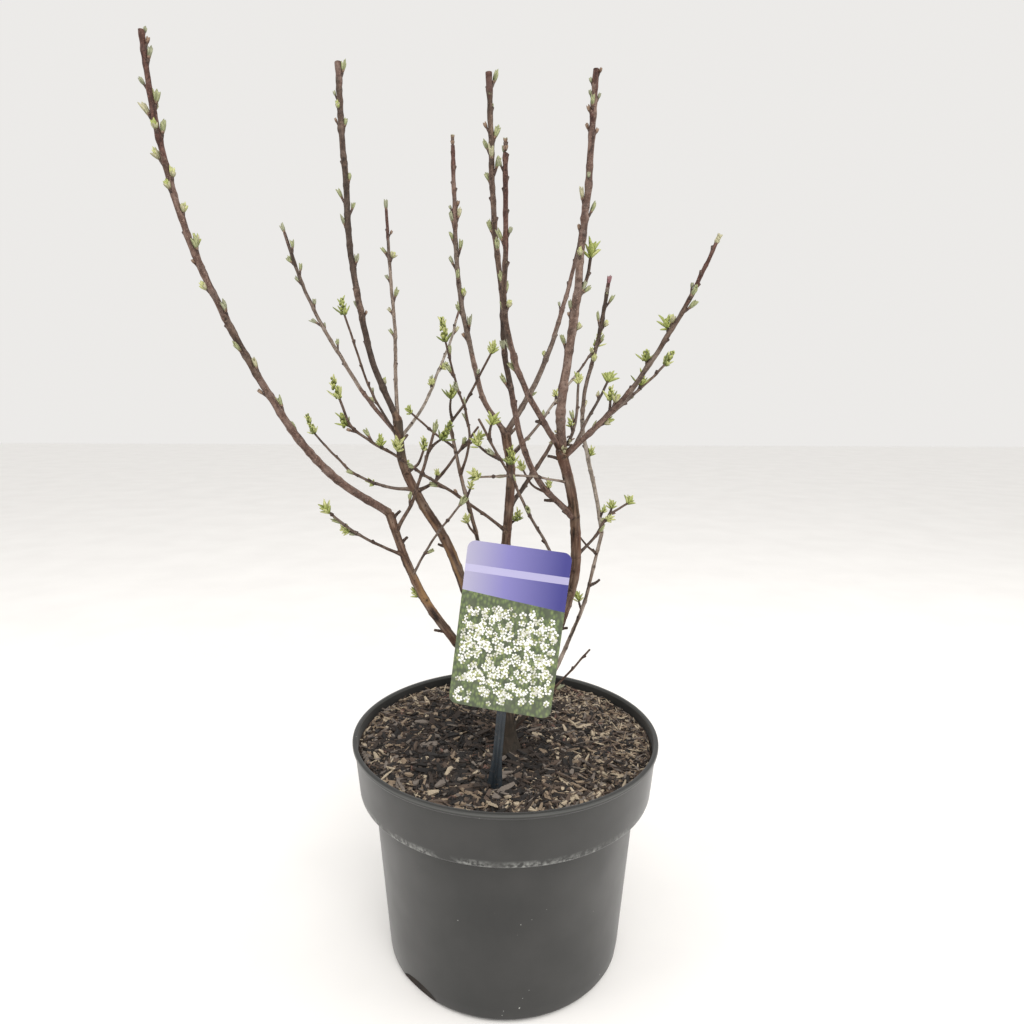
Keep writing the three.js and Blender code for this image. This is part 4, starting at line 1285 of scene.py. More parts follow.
def relief_of(mesh, parts):
    """For each point of the skin: its height in the relief, its tone and the shares of its marks."""
    points = np.empty(len(mesh.vertices) * 3)
    mesh.vertices.foreach_get("co", points)
    points = points.reshape(-1, 3) / MM
    group = [part[0] for part in parts]
    ends = np.array([part[1][-1] for part in parts])
    rows = samples_of(group, SAMPLE_PITCH)
    rows = rows[rows[:, 1] <= ends[rows[:, 0].astype(int)] + 1e-6]
    tree = tree_of(rows)
    near = rows[[tree.find(point)[1] for point in points.tolist()]]
    part = near[:, 0].astype(int)
    run = near[:, 1] * np.array([limb.length for limb in group])[part] + APART * part
    off = points - near[:, 2:5]
    angle = np.arctan2((off * near[:, 11:14]).sum(1), (off * near[:, 8:11]).sum(1))
    width = np.linalg.norm(off, axis=1)
    ring = np.column_stack((np.cos(angle), np.sin(angle))) * width[:, None]

    def field(across, along, shift=0.0):
        return noise_at(np.column_stack((ring / across + shift, run / along)))
    ridges, fine = field(1.9, 15), field(0.8, 9, 31)
    split = np.clip(1 - np.abs(field(3.4, 30, 11)) / 0.085, 0, 1) * np.clip(field(9, 22, 5) * 4 + 0.6, 0, 1)
    lumps = noise_at(points / 6.5)
    gold = np.clip(field(3.0, 24, 23) * 2.6, 0, 1)
    red = np.clip(field(7, 30, 41) * 3 + 0.15, 0, 1)
    scar_height, scar_dark = np.zeros(len(points)), np.zeros(len(points))
    chance = np.random.default_rng(3)
    for index, limb in enumerate(boughs):
        here = part == index
        for k in range(int(limb.length / SCAR_PITCH)):
            middle = APART * index + (k + 0.6 + 0.3 * chance.random()) * SCAR_PITCH
            turned = around(angle[here], k * GOLDEN_TURN + index) * width[here]
            away = (run[here] - middle) ** 2 + turned ** 2
            scar_height[here] += SCAR[0] * np.exp(-away / SCAR[1] ** 2) - 0.5 * np.exp(-away / 0.8 ** 2)
            scar_height[here] += 0.15 * np.exp(-((run[here] - middle) / 1.3) ** 2)
            scar_dark[here] = np.maximum(scar_dark[here], np.exp(-away / 1.2 ** 2))
    on_stub = np.clip(1 - (run - APART * part) / STUB, 0.1, 1)
    fade = np.where(part < len(boughs), 1, on_stub)
    height = fade * (RIDGE * ridges + 0.06 * fine - CRACK * split + LUMP * lumps + scar_height)
    tone = np.clip(0.5 + 0.45 * ridges + 0.35 * fine + 0.2 * lumps - 0.75 * split, 0, 1)
    names = np.array([limb.name for limb in group])[part]
    old = np.where(names == "inner", np.clip(1.35 - 1.6 * near[:, 1], 0.1, 1),
                   np.where(names == "left", np.clip(1 - 4 * np.abs(near[:, 1] - 0.6), 0.1, 1), 0.10))
    pale = np.isin(names, ("rear", "rear_top", "rear_side")) * 0.8 + (names == "slim") * 0.3
    pale = np.clip(pale * (1 + 0.8 * lumps), 0, 1)
    # Painted shade: the trunk's foot, in the label card's shade, darkens below these heights; the inner
    # bough's dark top joins this layer.
    damp = np.interp(points[:, 2] + 9 * ridges, SHADED_FOOT_HEIGHTS, (1, 0))
    damp = np.maximum(damp, (names == "inner") * np.interp(near[:, 1] + 0.02 * ridges, DARK_TOP, (0, 0.8)))
    return points, height, dict(tone=tone, scar=scar_dark, gold=gold * old, pale=pale, damp=damp,
                                red=red * np.isin(names, REDDENED))


def build_bark(material):
    parts = skin_parts()
    mesh = melted_skin(parts)
    points, height, layers = relief_of(mesh, parts)
    normals = np.empty(len(mesh.vertices) * 3)
    mesh.vertices.foreach_get("normal", normals)
    moved = points + normals.reshape(-1, 3) * height[:, None]
    mesh.vertices.foreach_set("co", (moved * MM).ravel())
    mesh.name = "stem_bark"
    for label, values in layers.items():
        carried = mesh.attributes.new(label, "FLOAT", "POINT")
        carried.data.foreach_set("value", values.astype(np.float32))
    mesh.shade_smooth()
    mesh.materials.append(material)
    mesh.update()
    bark = place_piece("stem_bark", mesh)
    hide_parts("trunk", *[limb.node for limb in boughs[1:]])
    return bark


BARK_GLOSS = 0.25


def bark_finish():
    made, tree, shader = new_material("stem_bark", roughness=0.7)
    shader.inputs["Specular IOR Level"].default_value = BARK_GLOSS
    tone, red, gold, damp = (layer(tree, label) for label in ("tone", "red", "gold", "damp"))
    warm = add_ramp(tree, tone, [
        (0.05, (0.016, 0.009, 0.006)), (0.35, (0.062, 0.032, 0.021)), (0.60, (0.104, 0.057, 0.038)),
        (0.95, (0.20, 0.128, 0.092))])
    grey = add_ramp(tree, tone, [
        (0.05, (0.018, 0.012, 0.009)), (0.38, (0.066, 0.041, 0.029)), (0.90, (0.20, 0.144, 0.108))])
    pale = add_ramp(tree, tone, [
        (0.05, (0.060, 0.046, 0.037)), (0.45, (0.225, 0.180, 0.147)), (0.90, (0.39, 0.33, 0.28))])
    colour = mix_colours(tree, patches(tree, 17, 0.38, 0.62, 4), warm, grey)
    colour = mix_colours(tree, layer(tree, "pale"), colour, pale)
    colour = mix_colours(tree, times(tree, red, 0.5), colour, (0.095, 0.040, 0.026))
    colour = mix_colours(tree, times(tree, gold, 0.9), colour, (0.29, 0.170, 0.075))
    colour = blotch(tree, colour, (0.24, 0.175, 0.13), 0.5, 1.0, 0.64, 0.70, 2)
    colour = blotch(tree, colour, (0.020, 0.012, 0.009), 0.7, 1.3, 0.66, 0.72, 2)
    # Painted shade: an olive dark over the trunk's shaded foot, and over the inner bough's dark top.
    colour = mix_colours(tree, times(tree, damp, 0.85), colour, (0.026, 0.023, 0.017))
    colour = mix_colours(tree, layer(tree, "scar"), colour, (0.014, 0.009, 0.007))
    paint(shader, colour)
    add_bump(tree, shader, grain(tree, 0.55, 6.0), 0.55, 0.25)
    return made


bark = build_bark(bark_finish())
print("bark:", sum(len(face.vertices) - 2 for face in bark.data.polygons), "triangles")

# %% [markdown]
# On the long whips the buds' places follow the photo, as a note for each limb. In "43Fg" the
# number is the share of the limb in hundredths and the capital is the side: left, right or
# facing the front. The last letter is what sits there: g a green bud on a peg, t a small open
# tuft, p a blunt bare peg, n a narrow one, c a crumbled bud, s a pale scar and d a dark one.
# The dice add what grows on the side that the photo doesn't show, and all the buds of the
# other twigs.

# %% Buds along the whips
WHIP_BUDS = {
    "left_whip": "5Fd 12Lp 14Fd 15Lp 18Lp 23Fs 26Lp 30Rg 34Ln 39Rg 43Fg 49Lp 51Rg 56Lt 61Ln 63Rg 67Lp"
                 " 70Rt 74Ft 76Rt 79Lt 83Rg 84Ft 86Lg 88Rg 91Ln 95Rg 97Rn 97Ls",
    "inner_whip": "10Fd 23Lp 30Rn 38Lp 44Rg 55Lg 59Rg 62Lg 67Rg 73Lp 75Fd 82Rg 83Ln 86Ft 90Ln 93Fd"
                  " 95Fs 96Rg",
    "inner_outer": "22Rp 37Lp 44Rg 57Lg 65Rg 77Lg 81Rg 86Lg 91Rg",
    "inner_straight": "18Lp 25Rp 38Lg 49Lg 55Rg 65Lg 75Rt 77Lg 87Rn 90Lp",
    "inner_dark": "33Lp 48Rp 62Lp 80Rp",
    "inner_pale": "12Fd 42Lg 54Rg 65Lp 82Rg 88Lp",
    "centre_left": "8Fd 15Lp 27Fd 36Ln 39Rg 45Lg 50Rt 56Fg 61Lg 65Rg 69Lg 75Lg 76Rg 79Ln 80Rn 86Rp"
                   " 88Lp 93Rp 95Ls 98Ls",
    "centre_right": "13Fd 36Fd 48Rp 60Ln 67Rp 73Lp 84Lp 93Rp",
    "right_cross": "20Fd 32Rp 36Lg 44Fg 52Fg 58Fg 65Fg 69Lg 72Rp 76Lp 81Rg 83Fg 85Lg 87Rg 89Ln 93Rp"
                   " 96Fs 97Lp 97Rg",
    "right_front": "13Lp 25Fd 39Fs 40Rp 55Rt 69Rp 70Fs 75Lg 77Rn 84Rp 90Lp 93Rp 95Ln 99Rp",
    "right_whip": "0Fc 2Rc 3Fd 4Lc 9Fd 12Fd 18Fd 19Ld 29Lg 34Rt 37Ln 39Lg 44Rg 53Ft 60Ln 64Rp 64Rg"
                  " 67Lg 72Fd 73Fn 77Fd 85Ln 84Rn 90Fg 89Ln 92Rn 93Ln 96Ln 98Rn",
    "right_whip_side": "20Rg 40Lp 62Rp",
    "right_arm": "17Fd 21Rt 30Lt 40Lp 52Lp 62Rp 67Lt 74Rg 79Fg 81Ln 84Rp 88Lp 97Lp",
    "right_arm_side": "30Rp 45Lp 85Lp",
    "rear_top": "22Rp 35Lp 46Fd 50Fd 68Ft 71Lt 76Rg 82Rt 83Lg 86Fd 91Rg 96Fs",
}
SIDES = {"L": 180, "R": 0, "F": -90}


def whip_spots():
    """The noted buds as spots, with small seeded differences in their turn."""
    chance = np.random.default_rng(17)
    found = []
    for name, notes in WHIP_BUDS.items():
        limb = limbs[name]
        for note in notes.split():
            share, side, kind = int(note[:-2]) / 100, note[-2], note[-1]
            point, along, right, away = limb.frame(share)
            out = spun(right, away, (SIDES[side] + chance.uniform(-22, 22)) * DEGREE)
            found.append(dict(kind=kind, limb=limb, share=share, stem=along, out=out,
                              point=point + 0.85 * float(limb.radius(share)) * out))
    return found


def dealt_spots():
    """The dice's buds: those at the back of a noted limb, and all of the others."""
    chance = np.random.default_rng(19)
    found = []
    for spot in spots:
        if spot["kind"] != "bud" or (spot["finer"] and chance.random() < 0.35):
            continue
        limb = spot["limb"]
        if limb.name in WHIP_BUDS and spot["out"] @ (0, 1, 0) < 0.5:
            continue
        kind = str(chance.choice(list("gtpn"), p=(0.42, 0.06, 0.40, 0.12)))
        stem = limb.frame(spot["share"])[1]
        found.append(dict(kind=kind, limb=limb, share=spot["share"], stem=stem, out=spot["out"],
                          point=spot["point"]))
    return found


bud_spots = whip_spots() + dealt_spots()


def twig_nodes(limb):
    """The shares of a limb at which a bud or a spur sits."""
    return [spot["share"] for spot in bud_spots if spot["limb"] is limb] + [
        spot["share"] for spot in spots if spot["limb"] is limb and spot["kind"] == "spur"]


print("buds:", {kind: sum(spot["kind"] == kind for spot in bud_spots) for kind in "gtpncsd"})

# %% [markdown]
# Twigs, spurs, pegs and stalks are all tubes: rings that are carried along a line, turning as
# little as they can, with a fan of triangles at each end. A ring's radius may differ from side
# to side, and each band between two rings may take a colour of its own.

# %% Tubes
def carried_frames(line):
    """Directions along a line and a pair across it that turns as little as it can."""
    along = unit(np.gradient(line, axis=0))
    first = np.cross(along[0], (0.0, 1.0, 0.0) if abs(along[0][1]) < 0.8 else (1.0, 0.0, 0.0))
    across = [unit(first)]
    for direction in along[1:]:
        last = across[-1]
        across.append(unit(last - direction * (last @ direction)))
    across = np.array(across)
    return along, across, np.cross(along, across)


def spread_over(value, rings, sides):
    """One value, one for each ring or one for each ring and side, as a flat array for all sides."""
    return np.broadcast_to(np.reshape(value, (-1, 1)) if np.ndim(value) == 1 else value,
                           (rings, sides)).ravel()


def add_tube(heap, line, radius, sides, slot=0, cap_slot=None, tone=0.5, dome=0.0):
    """A closed tube. radius and tone may be one for each ring, or for each ring and side."""
    rings = len(line)
    along, across, other = carried_frames(line)
    turn = np.arange(sides) * 2 * math.pi / sides
    wide = spread_over(radius, rings, sides).reshape(rings, sides)
    spokes = (np.cos(turn)[None, :, None] * across[:, None, :]
              + np.sin(turn)[None, :, None] * other[:, None, :])
    points = (line[:, None, :] + wide[:, :, None] * spokes).reshape(-1, 3)
    points = np.vstack([points, line[0], line[-1] + dome * along[-1]])
    near = (np.arange(rings - 1)[:, None] * sides + np.arange(sides)).ravel()
    beside = (np.arange(rings - 1)[:, None] * sides + (np.arange(sides) + 1) % sides).ravel()
    walls = np.vstack([np.column_stack((near, beside, beside + sides)),
                       np.column_stack((near, beside + sides, near + sides))])
    k = np.arange(sides)
    after = (k + 1) % sides
    last = (rings - 1) * sides
    foot_cap = np.column_stack((after, k, np.full(sides, rings * sides)))
    tip_cap = np.column_stack((last + k, last + after, np.full(sides, rings * sides + 1)))
    bands = spread_over(slot, rings - 1, sides)
    cap = bands[-1] if cap_slot is None else cap_slot
    slots = np.concatenate([bands, bands, np.full(sides, bands[0]), np.full(sides, cap)])
    tones = np.append(spread_over(tone, rings, sides), (0.5, 0.2))
    heap.add(points, np.vstack([walls, foot_cap, tip_cap]), slots, tones)

# %% [markdown]
# A twig is a tube of rings that follow its line. The rings swell a little at each bud, flare
# where the twig leaves its carrier, and wander by a fraction of a millimetre, since no real
# twig is true. All twigs go into one heap. Each stretch of a twig takes one of a few plain bark
# colours: the one-year tips are redder, older parts grey. Cut ends show brown wood.

# %% Twigs
TWIG_RING = 1.2
TWIG_SIDES = (8, 12)         # under and over the thickness of a stout twig
STOUT = 3.0
WANDER = 0.22
CHANGE_OVER = 14             # how far one kind of bark reaches in tongues into the next
NODE_SWELL = (0.15, 1.9)     # gain of the radius at a bud, and its half length
FOOT_FLARE = (0.5, 3.0)
TIP_FLARE = {"inner_whip": 0.32, "right_cross": 0.3, "left_whip": 0.1}
TWIG_KINDS = ["twig_brown", "twig_grey", "twig_dark", "twig_red", "twig_pale", "twig_rose",
              "twig_pink", "twig_ash", "cut_wood"]
TWIG_TONES = {               # limb: kinds of bark, each with the hundredth where it starts
    "left_whip": "rose 0 brown 36 rose 50 red 80", "left_low": "brown 0 grey 40", "left_fine": "grey 0",
    "inner_whip": "dark 0 brown 30 dark 40 brown 72 rose 95", "inner_dark": "dark 0 brown 30",
    "inner_straight": "pale 0 grey 70 red 86", "inner_outer": "rose 0 pale 25 grey 60 dark 84 rose 96",
    "inner_pale": "ash 0 rose 90", "inner_low": "grey 0 brown 50 dark 90",
    "inner_broken": "dark 0 brown 10", "inner_spur": "dark 0 brown 20", "slim_top": "dark 0 brown 20",
    "slim_side": "dark 0 brown 30", "centre_left": "pink 0 grey 30 rose 70 red 93",
    "centre_right": "grey 0 rose 50 dark 85", "centre_pale": "grey 0 ash 35 brown 70",
    "centre_dark": "dark 0 brown 50", "right_whip": "pink 0 rose 60 red 86 pink 89 red 93.5",
    "right_whip_side": "grey 0 brown 30 dark 70", "right_front": "rose 0 brown 45 red 72",
    "right_cross": "rose 0 dark 35 brown 56 red 96", "right_short": "dark 0 grey 30",
    "right_arm": "rose 0 grey 35 brown 60 red 80", "right_arm_back": "grey 0 dark 35",
    "right_arm_side": "grey 0 brown 50", "right_level": "pale 0", "right_hook": "grey 0 brown 60",
    "right_low": "dark 0 brown 30", "rear_top": "ash 0 grey 45 dark 76 pale 95.5 red 97",
    "low_shoot": "dark 0 brown 50",
}
CUT_TIPS = {"left_whip", "inner_whip", "right_whip", "right_cross", "centre_dark", "inner_broken"}


def twig_rings(limb):
    """Shares, line and radii of one twig's rings, with its flare, swellings and wandering."""
    share = np.linspace(0, 1, max(8, round(limb.length / TWIG_RING)))
    line, _, right, away = limb.frames(share)
    run = share * limb.length
    fade = np.minimum(1, np.minimum(run, limb.length - run) / 12)[:, None]
    drift = noise_at(np.column_stack((run / 13, np.full(len(run), 3.7 * limb.order), 0 * run)))
    sway = noise_at(np.column_stack((run / 13, np.full(len(run), 3.7 * limb.order), 0 * run + 50)))
    line = line + WANDER * fade * (drift[:, None] * right + sway[:, None] * away) * 2
    radius = limb.radius(share)
    if 0 < limb.at < 0.97:
        foot = float(limbs[limb.carrier].radius(limb.at))
        radius = radius * (1 + FOOT_FLARE[0] * np.exp(-np.maximum(run - foot, 0) / FOOT_FLARE[1]))
    radius = radius * (1 + TIP_FLARE.get(limb.name, 0) * np.exp(-((limb.length - run) / 7) ** 2))
    for node in twig_nodes(limb):
        past = (run - node * limb.length + 0.4) / NODE_SWELL[1]
        radius = radius * (1 + NODE_SWELL[0] * np.exp(-past ** 2))
    rough = noise_at(np.column_stack((run / 4, 0 * run, 0 * run + limb.order)))
    return share, line, radius * (1 + 0.025 * rough)


def add_twig(heap, limb):
    share, line, radius = twig_rings(limb)
    sides = TWIG_SIDES[limb.thick[0] >= STOUT]
    turn = np.arange(sides) * 2 * math.pi / sides
    run = np.repeat(share * limb.length, sides)
    spin = np.tile(turn, len(share))
    ring = np.column_stack((np.cos(spin), np.sin(spin)))
    streaks = noise_at(np.column_stack((ring * 1.4, run / 11 + 7 * limb.order)))
    flecks = noise_at(np.column_stack((ring * 2.2 + 9, run / 2.2 + 7 * limb.order)))
    streaks, flecks = (one.reshape(len(share), sides) for one in (streaks, flecks))
    wide = radius[:, None] * (1 + 0.035 * streaks + 0.02 * flecks)
    edge = noise_at(np.column_stack((ring * 0.8, run / 9 + 3 * limb.order))) + 0.5 * flecks.ravel()
    places = (share[:, None] + CHANGE_OVER / limb.length * edge.reshape(len(share), sides))[:-1]
    slots = np.zeros(places.shape, int)
    words = TWIG_TONES.get(limb.name, "brown 0").split()
    for kind, start in zip(words[::2], words[1::2]):
        slots[places >= float(start) / 100] = TWIG_KINDS.index("twig_" + kind)
    cut = TWIG_KINDS.index("cut_wood") if limb.name in CUT_TIPS else None
    add_tube(heap, line, wide, sides, slots, cut, np.clip(0.47 + 0.5 * streaks + 0.4 * flecks, 0, 1),
             dome=0.15 if cut else 0.6 * radius[-1])


def add_spur(heap, foot, along, length, chance, slot="twig_dark", thick=SPUR_THICK):
    """A short shoot, ringed by the scars of former years, from inside its carrier."""
    steps = max(5, round(length / 0.7))
    share = np.linspace(0, 1, steps)
    line = foot + share[:, None] * length * along
    bend = unit(np.cross(along, chance.standard_normal(3)))
    line = line + (0.08 * length * np.sin(share * math.pi))[:, None] * bend
    rings = 1 + 0.22 * np.abs(np.sin(share * length * 1.5 + chance.random() * 6))
    taper = 1.25 - 0.35 * share + 0.6 * np.exp(-share * length / 2.2)
    add_tube(heap, line, thick / 2 * rings * taper, 7, TWIG_KINDS.index(slot),
             tone=0.25 + 0.5 * chance.random(steps), dome=0.2)
    return line[-1], unit(line[-1] - line[-2])


def twig_bark(name, colour, pale):
    made, tree, shader = new_material(name, roughness=0.62)
    shader.inputs["Specular IOR Level"].default_value = BARK_GLOSS
    base = add_ramp(tree, layer(tree, "tone"), [(0.1, shade(colour, 0.34)), (0.5, colour), (0.9, pale)])
    silver = tuple(0.75 * part + 0.3 * sum(pale) / 3 for part in pale)
    base = blotch(tree, base, silver, 0.35, 6, 0.50, 0.62, 3)
    base = blotch(tree, base, shade(colour, 0.5), 0.28, 9, 0.56, 0.66, 3)
    base = blotch(tree, base, shade(pale, 1.3), 0.75, 0.8, 0.64, 0.70, 1)
    base = blotch(tree, base, shade(colour, 0.28), 0.85, 1.1, 0.65, 0.71, 1)
    paint(shader, base)
    add_bump(tree, shader, grain(tree, 0.35, 7.0), 0.5, 0.15)
    return made


def cut_wood():
    made, tree, shader = new_material("cut_wood", roughness=0.8)
    colour = mix_colours(tree, grain(tree, 0.5, 1.0), (0.10, 0.065, 0.045), (0.035, 0.022, 0.017))
    paint(shader, colour)
    return made


# Stubs and bare spurs: limb, share, reach and kind of bark
BARE_SPURS = [
    ("left", 0.44, -7, "dark"), ("left", 0.86, 6, "dark"), ("centre", 0.92, 12, "dark"),
    ("centre", 0.985, 11, "grey"), ("right", 0.34, 5, "dark"), ("right", 0.78, -7, "dark"),
    ("right", 0.965, -9, "dark"), ("right", 0.985, 7, "grey"), ("rear", 0.75, 9, "dark"),
    ("right_cross", 0.06, -6, "dark"), ("inner", 0.55, -5, "dark"), ("inner", 0.93, 6, "brown"),
    ("left", 0.965, 7, "dark"), ("rear", 0.9, -4, "dark"), ("right_front", 0.14, -4, "dark"),
]
# Tufts on short spurs of the boughs: limb, share and reach
BOUGH_TUFTS = [("left", 0.61, -9), ("inner", 0.84, 5), ("centre", 0.66, 10), ("slim", 0.75, 12),
               ("rear", 0.63, -12)]


def spur_start(limb, share, reach, chance, lean=SPUR_LEAN):
    point, along, right, away = limb.frame(share)
    turn = (0 if reach > 0 else math.pi) + (chance.random() - 0.5) * SPUR_FAN * 0.6
    direction = unit(leaning(along, right, away, lean, turn) + (0, 0, 0.15))
    return point, direction, abs(reach) + float(limb.radius(share))


TUFT_NOTES = {               # limb: hundredth, s for a stalk or f for a fan, and its length
    "inner_dark": "100s10", "centre_long": "100s13 87s8 73f7 64f10", "inner_low": "100s16 88f0 31f7",
    "inner_spur": "100s9", "left_upright": "84s14", "slim_top": "6s8 100f8", "slim_side": "100f6",
    "slim_front": "100s14", "slim": "75f6", "inner": "84f7", "inner_broken": "26f5 70f10",
    "right_hook": "70s10 80f7 90f9",
    "right_arm_side": "100s12 56s8", "right_arm": "27s7 50s5 64f8", "right_arm_back": "100f12",
    "centre_pale": "100s13 49f6", "right_short": "100f8 32f5", "right_cross_side": "100f7",
    "right_level": "100f8", "rear_top": "30f7 6f5", "right_whip_side": "100f12", "right_cross": "8f6",
    "inner_pale": "40f6 53f6", "left_low": "100f9 60f7", "right_low": "100f8 58f6 68f7", "slim_low": "100f7",
}


def tuft_size(name, share):
    """Whether the noted tuft at a share of a limb is a stalk, and its length; or nothing."""
    for note in TUFT_NOTES.get(name, "").split():
        kind = "s" if "s" in note else "f"
        place, size = note.split(kind)
        if abs(int(place) / 100 - share) < 0.02:
            return kind == "s", float(size)
    return None


TWIG_COLOURS = {
    "twig_brown": ((0.080, 0.049, 0.035), (0.168, 0.114, 0.085)),
    "twig_grey": ((0.102, 0.071, 0.055), (0.210, 0.160, 0.128)),
    "twig_dark": ((0.046, 0.029, 0.021), (0.098, 0.066, 0.049)),
    "twig_red": ((0.074, 0.033, 0.025), (0.165, 0.086, 0.066)),
    "twig_pale": ((0.172, 0.128, 0.100), (0.32, 0.258, 0.212)),
    "twig_rose": ((0.112, 0.066, 0.051), (0.225, 0.152, 0.121)),
    "twig_pink": ((0.142, 0.090, 0.070), (0.27, 0.192, 0.155)),
    "twig_ash": ((0.220, 0.180, 0.145), (0.40, 0.345, 0.29)),
}


def build_twigs():
    """The twigs with all spurs, and the ends that the tufts stand on."""
    chance = np.random.default_rng(21)
    heap = Heap()
    ends = []
    for limb in twig_limbs:
        add_twig(heap, limb)
    for spot in spots:
        if spot["kind"] == "spur" and tuft_size(spot["limb"].name, spot["share"]) != (False, 0):
            end, along = add_spur(heap, spot["point"], spot["along"], spot["bare"], chance)
            ends.append((end, along, spot["limb"], spot["share"]))
        if spot["kind"] == "end_tuft":
            ends.append((spot["point"], spot["along"], spot["limb"], 1))
    for name, share, reach in BOUGH_TUFTS:
        foot, along, length = spur_start(limbs[name], share, reach, chance)
        end, along = add_spur(heap, foot, along, max(2.5, length - LEAF_LENGTH / 2), chance)
        ends.append((end, along, limbs[name], share))
    for name, share, reach, kind in BARE_SPURS:
        foot, along, length = spur_start(limbs[name], share, reach, chance, 60 * DEGREE)
        add_spur(heap, foot, along, length, chance, "twig_" + kind, 2.0)
    materials = [twig_bark(name, *TWIG_COLOURS[name]) for name in TWIG_KINDS[:-1]] + [cut_wood()]
    twigs = heap.build("twig_stems", materials, "twigs")
    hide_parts(*[node for node in NODES if node.startswith("twigs")])
    return twigs, ends


twigs, tuft_ends = build_twigs()
print(len(tuft_ends), "ends with tufts")

# %% [markdown]
# A leaflet is a small closed body with a pointed outline: a coarse ball, pressed flat, narrowed
# towards its tip and its stalk, folded along the middle and bent outwards or inwards. It has 48
# triangles. Its copies differ in length, width, fold and bend, and each bud or tuft deals its
# leaflets one of a few greens.

# %% Leaflets
def leaflet_pattern():
    """A flat ball from 0 to 1 in Z and 1 wide in X: points, triangles and distance from the rib."""
    bm = bmesh.new()
    bmesh.ops.create_uvsphere(bm, u_segments=6, v_segments=5, radius=0.5)
    for vert in bm.verts:
        vert.co.z += 0.5
        taper = np.interp(vert.co.z, (0, 0.2, 0.7, 1), (0.7, 1.0, 1.0, 0.55))
        vert.co.x *= taper
    points, faces = pattern(bm)
    return points, faces, np.clip(np.abs(points[:, 0]) * 2, 0, 1)


LEAFLET = leaflet_pattern()
LEAFLET_THICK = 0.55


def add_leaflet(heap, root, direction, inward, length, width, slot, fold=0.35, bend=0.12, tip=0.25):
    """A leaflet along a direction, its inner face towards inward; tip is how much it pales upwards."""
    points, faces, across = LEAFLET
    normal = unit(inward - direction * (inward @ direction) + 1e-6)
    side = np.cross(normal, direction)
    up = points[:, 2]
    high = (points[:, 1] * LEAFLET_THICK * 2 + fold * np.abs(points[:, 0]) * width
            - bend * length * up ** 2)
    placed = (root + (points[:, 0] * width)[:, None] * side + high[:, None] * normal
              + (up * length)[:, None] * direction)
    heap.add(placed, faces, slot, np.clip(0.2 + 0.5 * across + tip * up, 0, 1))


def leaf_green(name, colour, pale):
    made, tree, shader = new_material(name, roughness=0.5)
    base = add_ramp(tree, layer(tree, "tone"), [(0.12, shade(colour, 0.42)), (0.45, colour), (0.9, pale)])
    base = blotch(tree, base, shade(colour, 0.5), 0.5, 1.4, 0.42, 0.66, 2)
    paint(shader, base)
    add_bump(tree, shader, grain(tree, 0.5, 3.0), 0.35, 0.15)
    return made


GREENS = [
    leaf_green("leaf_fresh", (0.242, 0.288, 0.056), (0.45, 0.49, 0.165)),
    leaf_green("leaf_light", (0.385, 0.415, 0.130), (0.61, 0.62, 0.30)),
    leaf_green("leaf_dark", (0.125, 0.158, 0.033), (0.26, 0.305, 0.09)),
]
FRESH, LIGHT, DARK = range(3)


def deal_green(chance):
    """Mostly fresh green, now and then lighter or darker."""
    return int(chance.choice((FRESH, LIGHT, DARK), p=(0.54, 0.40, 0.06)))


def is_free(point, node, slack=0.6):
    """Whether a point is outside the limbs of all other nodes."""
    for _, index, away in SAMPLE_TREE.find_range(point, 10):
        limb = SAMPLED[int(SAMPLES[index][0])]
        if limb.node != node and away < float(limb.radius(SAMPLES[index][1])) + slack:
            return False
    return True


SAMPLED = list(limbs.values())
SAMPLES = samples_of(SAMPLED, 2.0)
SAMPLE_TREE = tree_of(SAMPLES)
print("leaflet:", len(LEAFLET[1]), "triangles")

# %% [markdown]
# A bud is a plump club of a few leaflets that still close over each other, pale at their tips,
# with brown scales at its foot. It sits on a dark peg, which leaves the stem like a bracket,
# broad at its foot, and turns upwards. Some pegs are bare, and some buds have opened into small
# tufts. Buds at a twig's end are larger, and a few of those are still all scales.

# %% Buds
BUD_COLOURS = {              # name: colour and the paler colour of its tips
    "bud_peg": ((0.062, 0.038, 0.030), (0.14, 0.095, 0.075)),
    "bud_scale": ((0.105, 0.060, 0.041), (0.29, 0.20, 0.14)),
    "bud_green": ((0.175, 0.196, 0.082), (0.39, 0.41, 0.215)),
    "bud_grey": ((0.165, 0.176, 0.098), (0.37, 0.38, 0.25)),
    "bud_cream": ((0.28, 0.272, 0.145), (0.53, 0.50, 0.33)),
    "bud_purple": ((0.105, 0.035, 0.040), (0.30, 0.14, 0.15)),
}
PEG, SCALE, BUD_GREEN, BUD_GREY, BUD_CREAM, BUD_PURPLE = range(6)
PEG_LENGTH = {"g": (1.4, 3.6), "t": (1.6, 3.4), "p": (0.9, 1.9), "n": (2.0, 3.4)}
PEG_TIP = {"g": 0.95, "t": 0.95, "p": 0.85, "n": 0.65}
SCAR_RADII = (1.3, 1.2, 0.8)
BUD_LENGTH = (7.6, 10.0)
BUD_WIDTH = (3.9, 5.0)
END_LOOK = {"right_front": "scaly", "centre_left": "scaly", "rear_top": "purple", "right_arm": "pink",
            "inner_outer": "pale", "inner_straight": "pale"}
END_SHIFT = {"centre_left": 2.2, "right_front": 3.0}    # how far it stands beyond the line's tip
PEG_SUNK = 0.8


def any_side(along):
    return unit(np.cross(along, (0.0, 1.0, 0.0) if abs(along[1]) < 0.8 else (1.0, 0.0, 0.0)))


def bent_line(root, first, last, length, steps=7):
    """A line that leaves its root in the first direction and ends in the last one."""
    share = np.linspace(0, 1, steps)[:, None]
    return root + length * ((share - share ** 2 / 2) * first + share ** 2 / 2 * last)


def ring_of(along, count, chance, wobble=0.4):
    """Directions across a line, evenly round it but for a seeded wobble."""
    side = any_side(along)
    other = np.cross(along, side)
    first = chance.random()
    for k in range(count):
        yield spun(side, other, 2 * math.pi * (k + first + wobble * chance.random()) / count)


